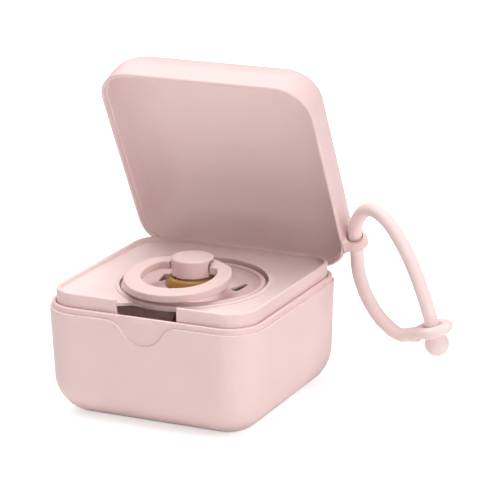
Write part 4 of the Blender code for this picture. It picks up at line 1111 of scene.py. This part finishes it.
# Studio
# White paper that keeps the case's soft shadow and fades to pure white away from it, a large soft
# lamp overhead, and weaker ones at the left rear, at the right, at the front right and low in
# front, where a strip lights the walls and not the tray.

WHITE = (1.0, 1.0, 1.0, 1.0)
ROOM_LIGHT = 0.04
bpy.context.scene.view_settings.view_transform = "Standard"


def white_paper():
    """Paper that shines by itself where the camera looks, less near the case."""
    paper = bpy.data.materials.new("white_paper")
    paper.use_nodes = True
    tree = paper.node_tree
    matt = filled(tree.nodes["Principled BSDF"], {
        "Base Color": (0.93, 0.93, 0.93, 1.0), "Roughness": 0.9, "Specular IOR Level": 0.0})
    place = tree.nodes.new("ShaderNodeTexCoord").outputs["Object"]
    away = add_node(tree, "ShaderNodeVectorMath", {0: place}, operation="LENGTH")
    fade = add_node(tree, "ShaderNodeMapRange", {
        "Value": away.outputs["Value"], "From Min": 0.15, "From Max": 1.20,
        "To Min": 0.58, "To Max": 1.00})
    seen = tree.nodes.new("ShaderNodeLightPath").outputs["Is Camera Ray"]
    strength = add_node(tree, "ShaderNodeMath", {0: seen, 1: fade.outputs["Result"]},
                        operation="MULTIPLY")
    shine = add_node(tree, "ShaderNodeEmission", {
        "Color": WHITE, "Strength": strength.outputs[0]})
    both_looks = add_node(tree, "ShaderNodeAddShader", {
        0: matt.outputs["BSDF"], 1: shine.outputs["Emission"]})
    filled(tree.nodes["Material Output"], {"Surface": both_looks.outputs[0]})
    return paper


floor_form = bmesh.new()
bmesh.ops.create_grid(floor_form, x_segments=1, y_segments=1, size=3.0)
floor = linked("floor", mesh_of(floor_form))
floor.data.materials.append(white_paper())

room = bpy.data.worlds.new("room")
room.use_nodes = True
bpy.context.scene.world = room
dim = filled(room.node_tree.nodes["Background"], {"Color": WHITE, "Strength": ROOM_LIGHT})
white = add_node(room.node_tree, "ShaderNodeBackground", {"Color": WHITE, "Strength": 1.0})
looked = room.node_tree.nodes.new("ShaderNodeLightPath").outputs["Is Camera Ray"]
choice = add_node(room.node_tree, "ShaderNodeMixShader", {
    0: looked, 1: dim.outputs["Background"], 2: white.outputs["Background"]})
filled(room.node_tree.nodes["World Output"], {"Surface": choice.outputs["Shader"]})


def softbox(name, place, width, power, height=None):
    """A lamp that looks at the case, square if it has no height of its own."""
    lamp = bpy.data.lights.new(name, "AREA")
    lamp.shape = "RECTANGLE"
    lamp.size = width
    lamp.size_y = height or width
    lamp.energy = power
    linked(name, lamp).matrix_world = aimed(place, Vector(place) - AIM)


softbox("overhead_softbox", (0.00, 0.02, 1.60), 1.1, 19.7)
softbox("left_softbox", (-0.90, 0.35, 1.20), 0.9, 9.0)
softbox("right_softbox", (1.30, -0.10, 0.75), 0.9, 8.9)
softbox("front_softbox", (0.85, -1.25, 0.50), 0.8, 3.4)
softbox("low_front_strip", (0.00, -1.25, 0.055), 1.4, 1.7, 0.10)
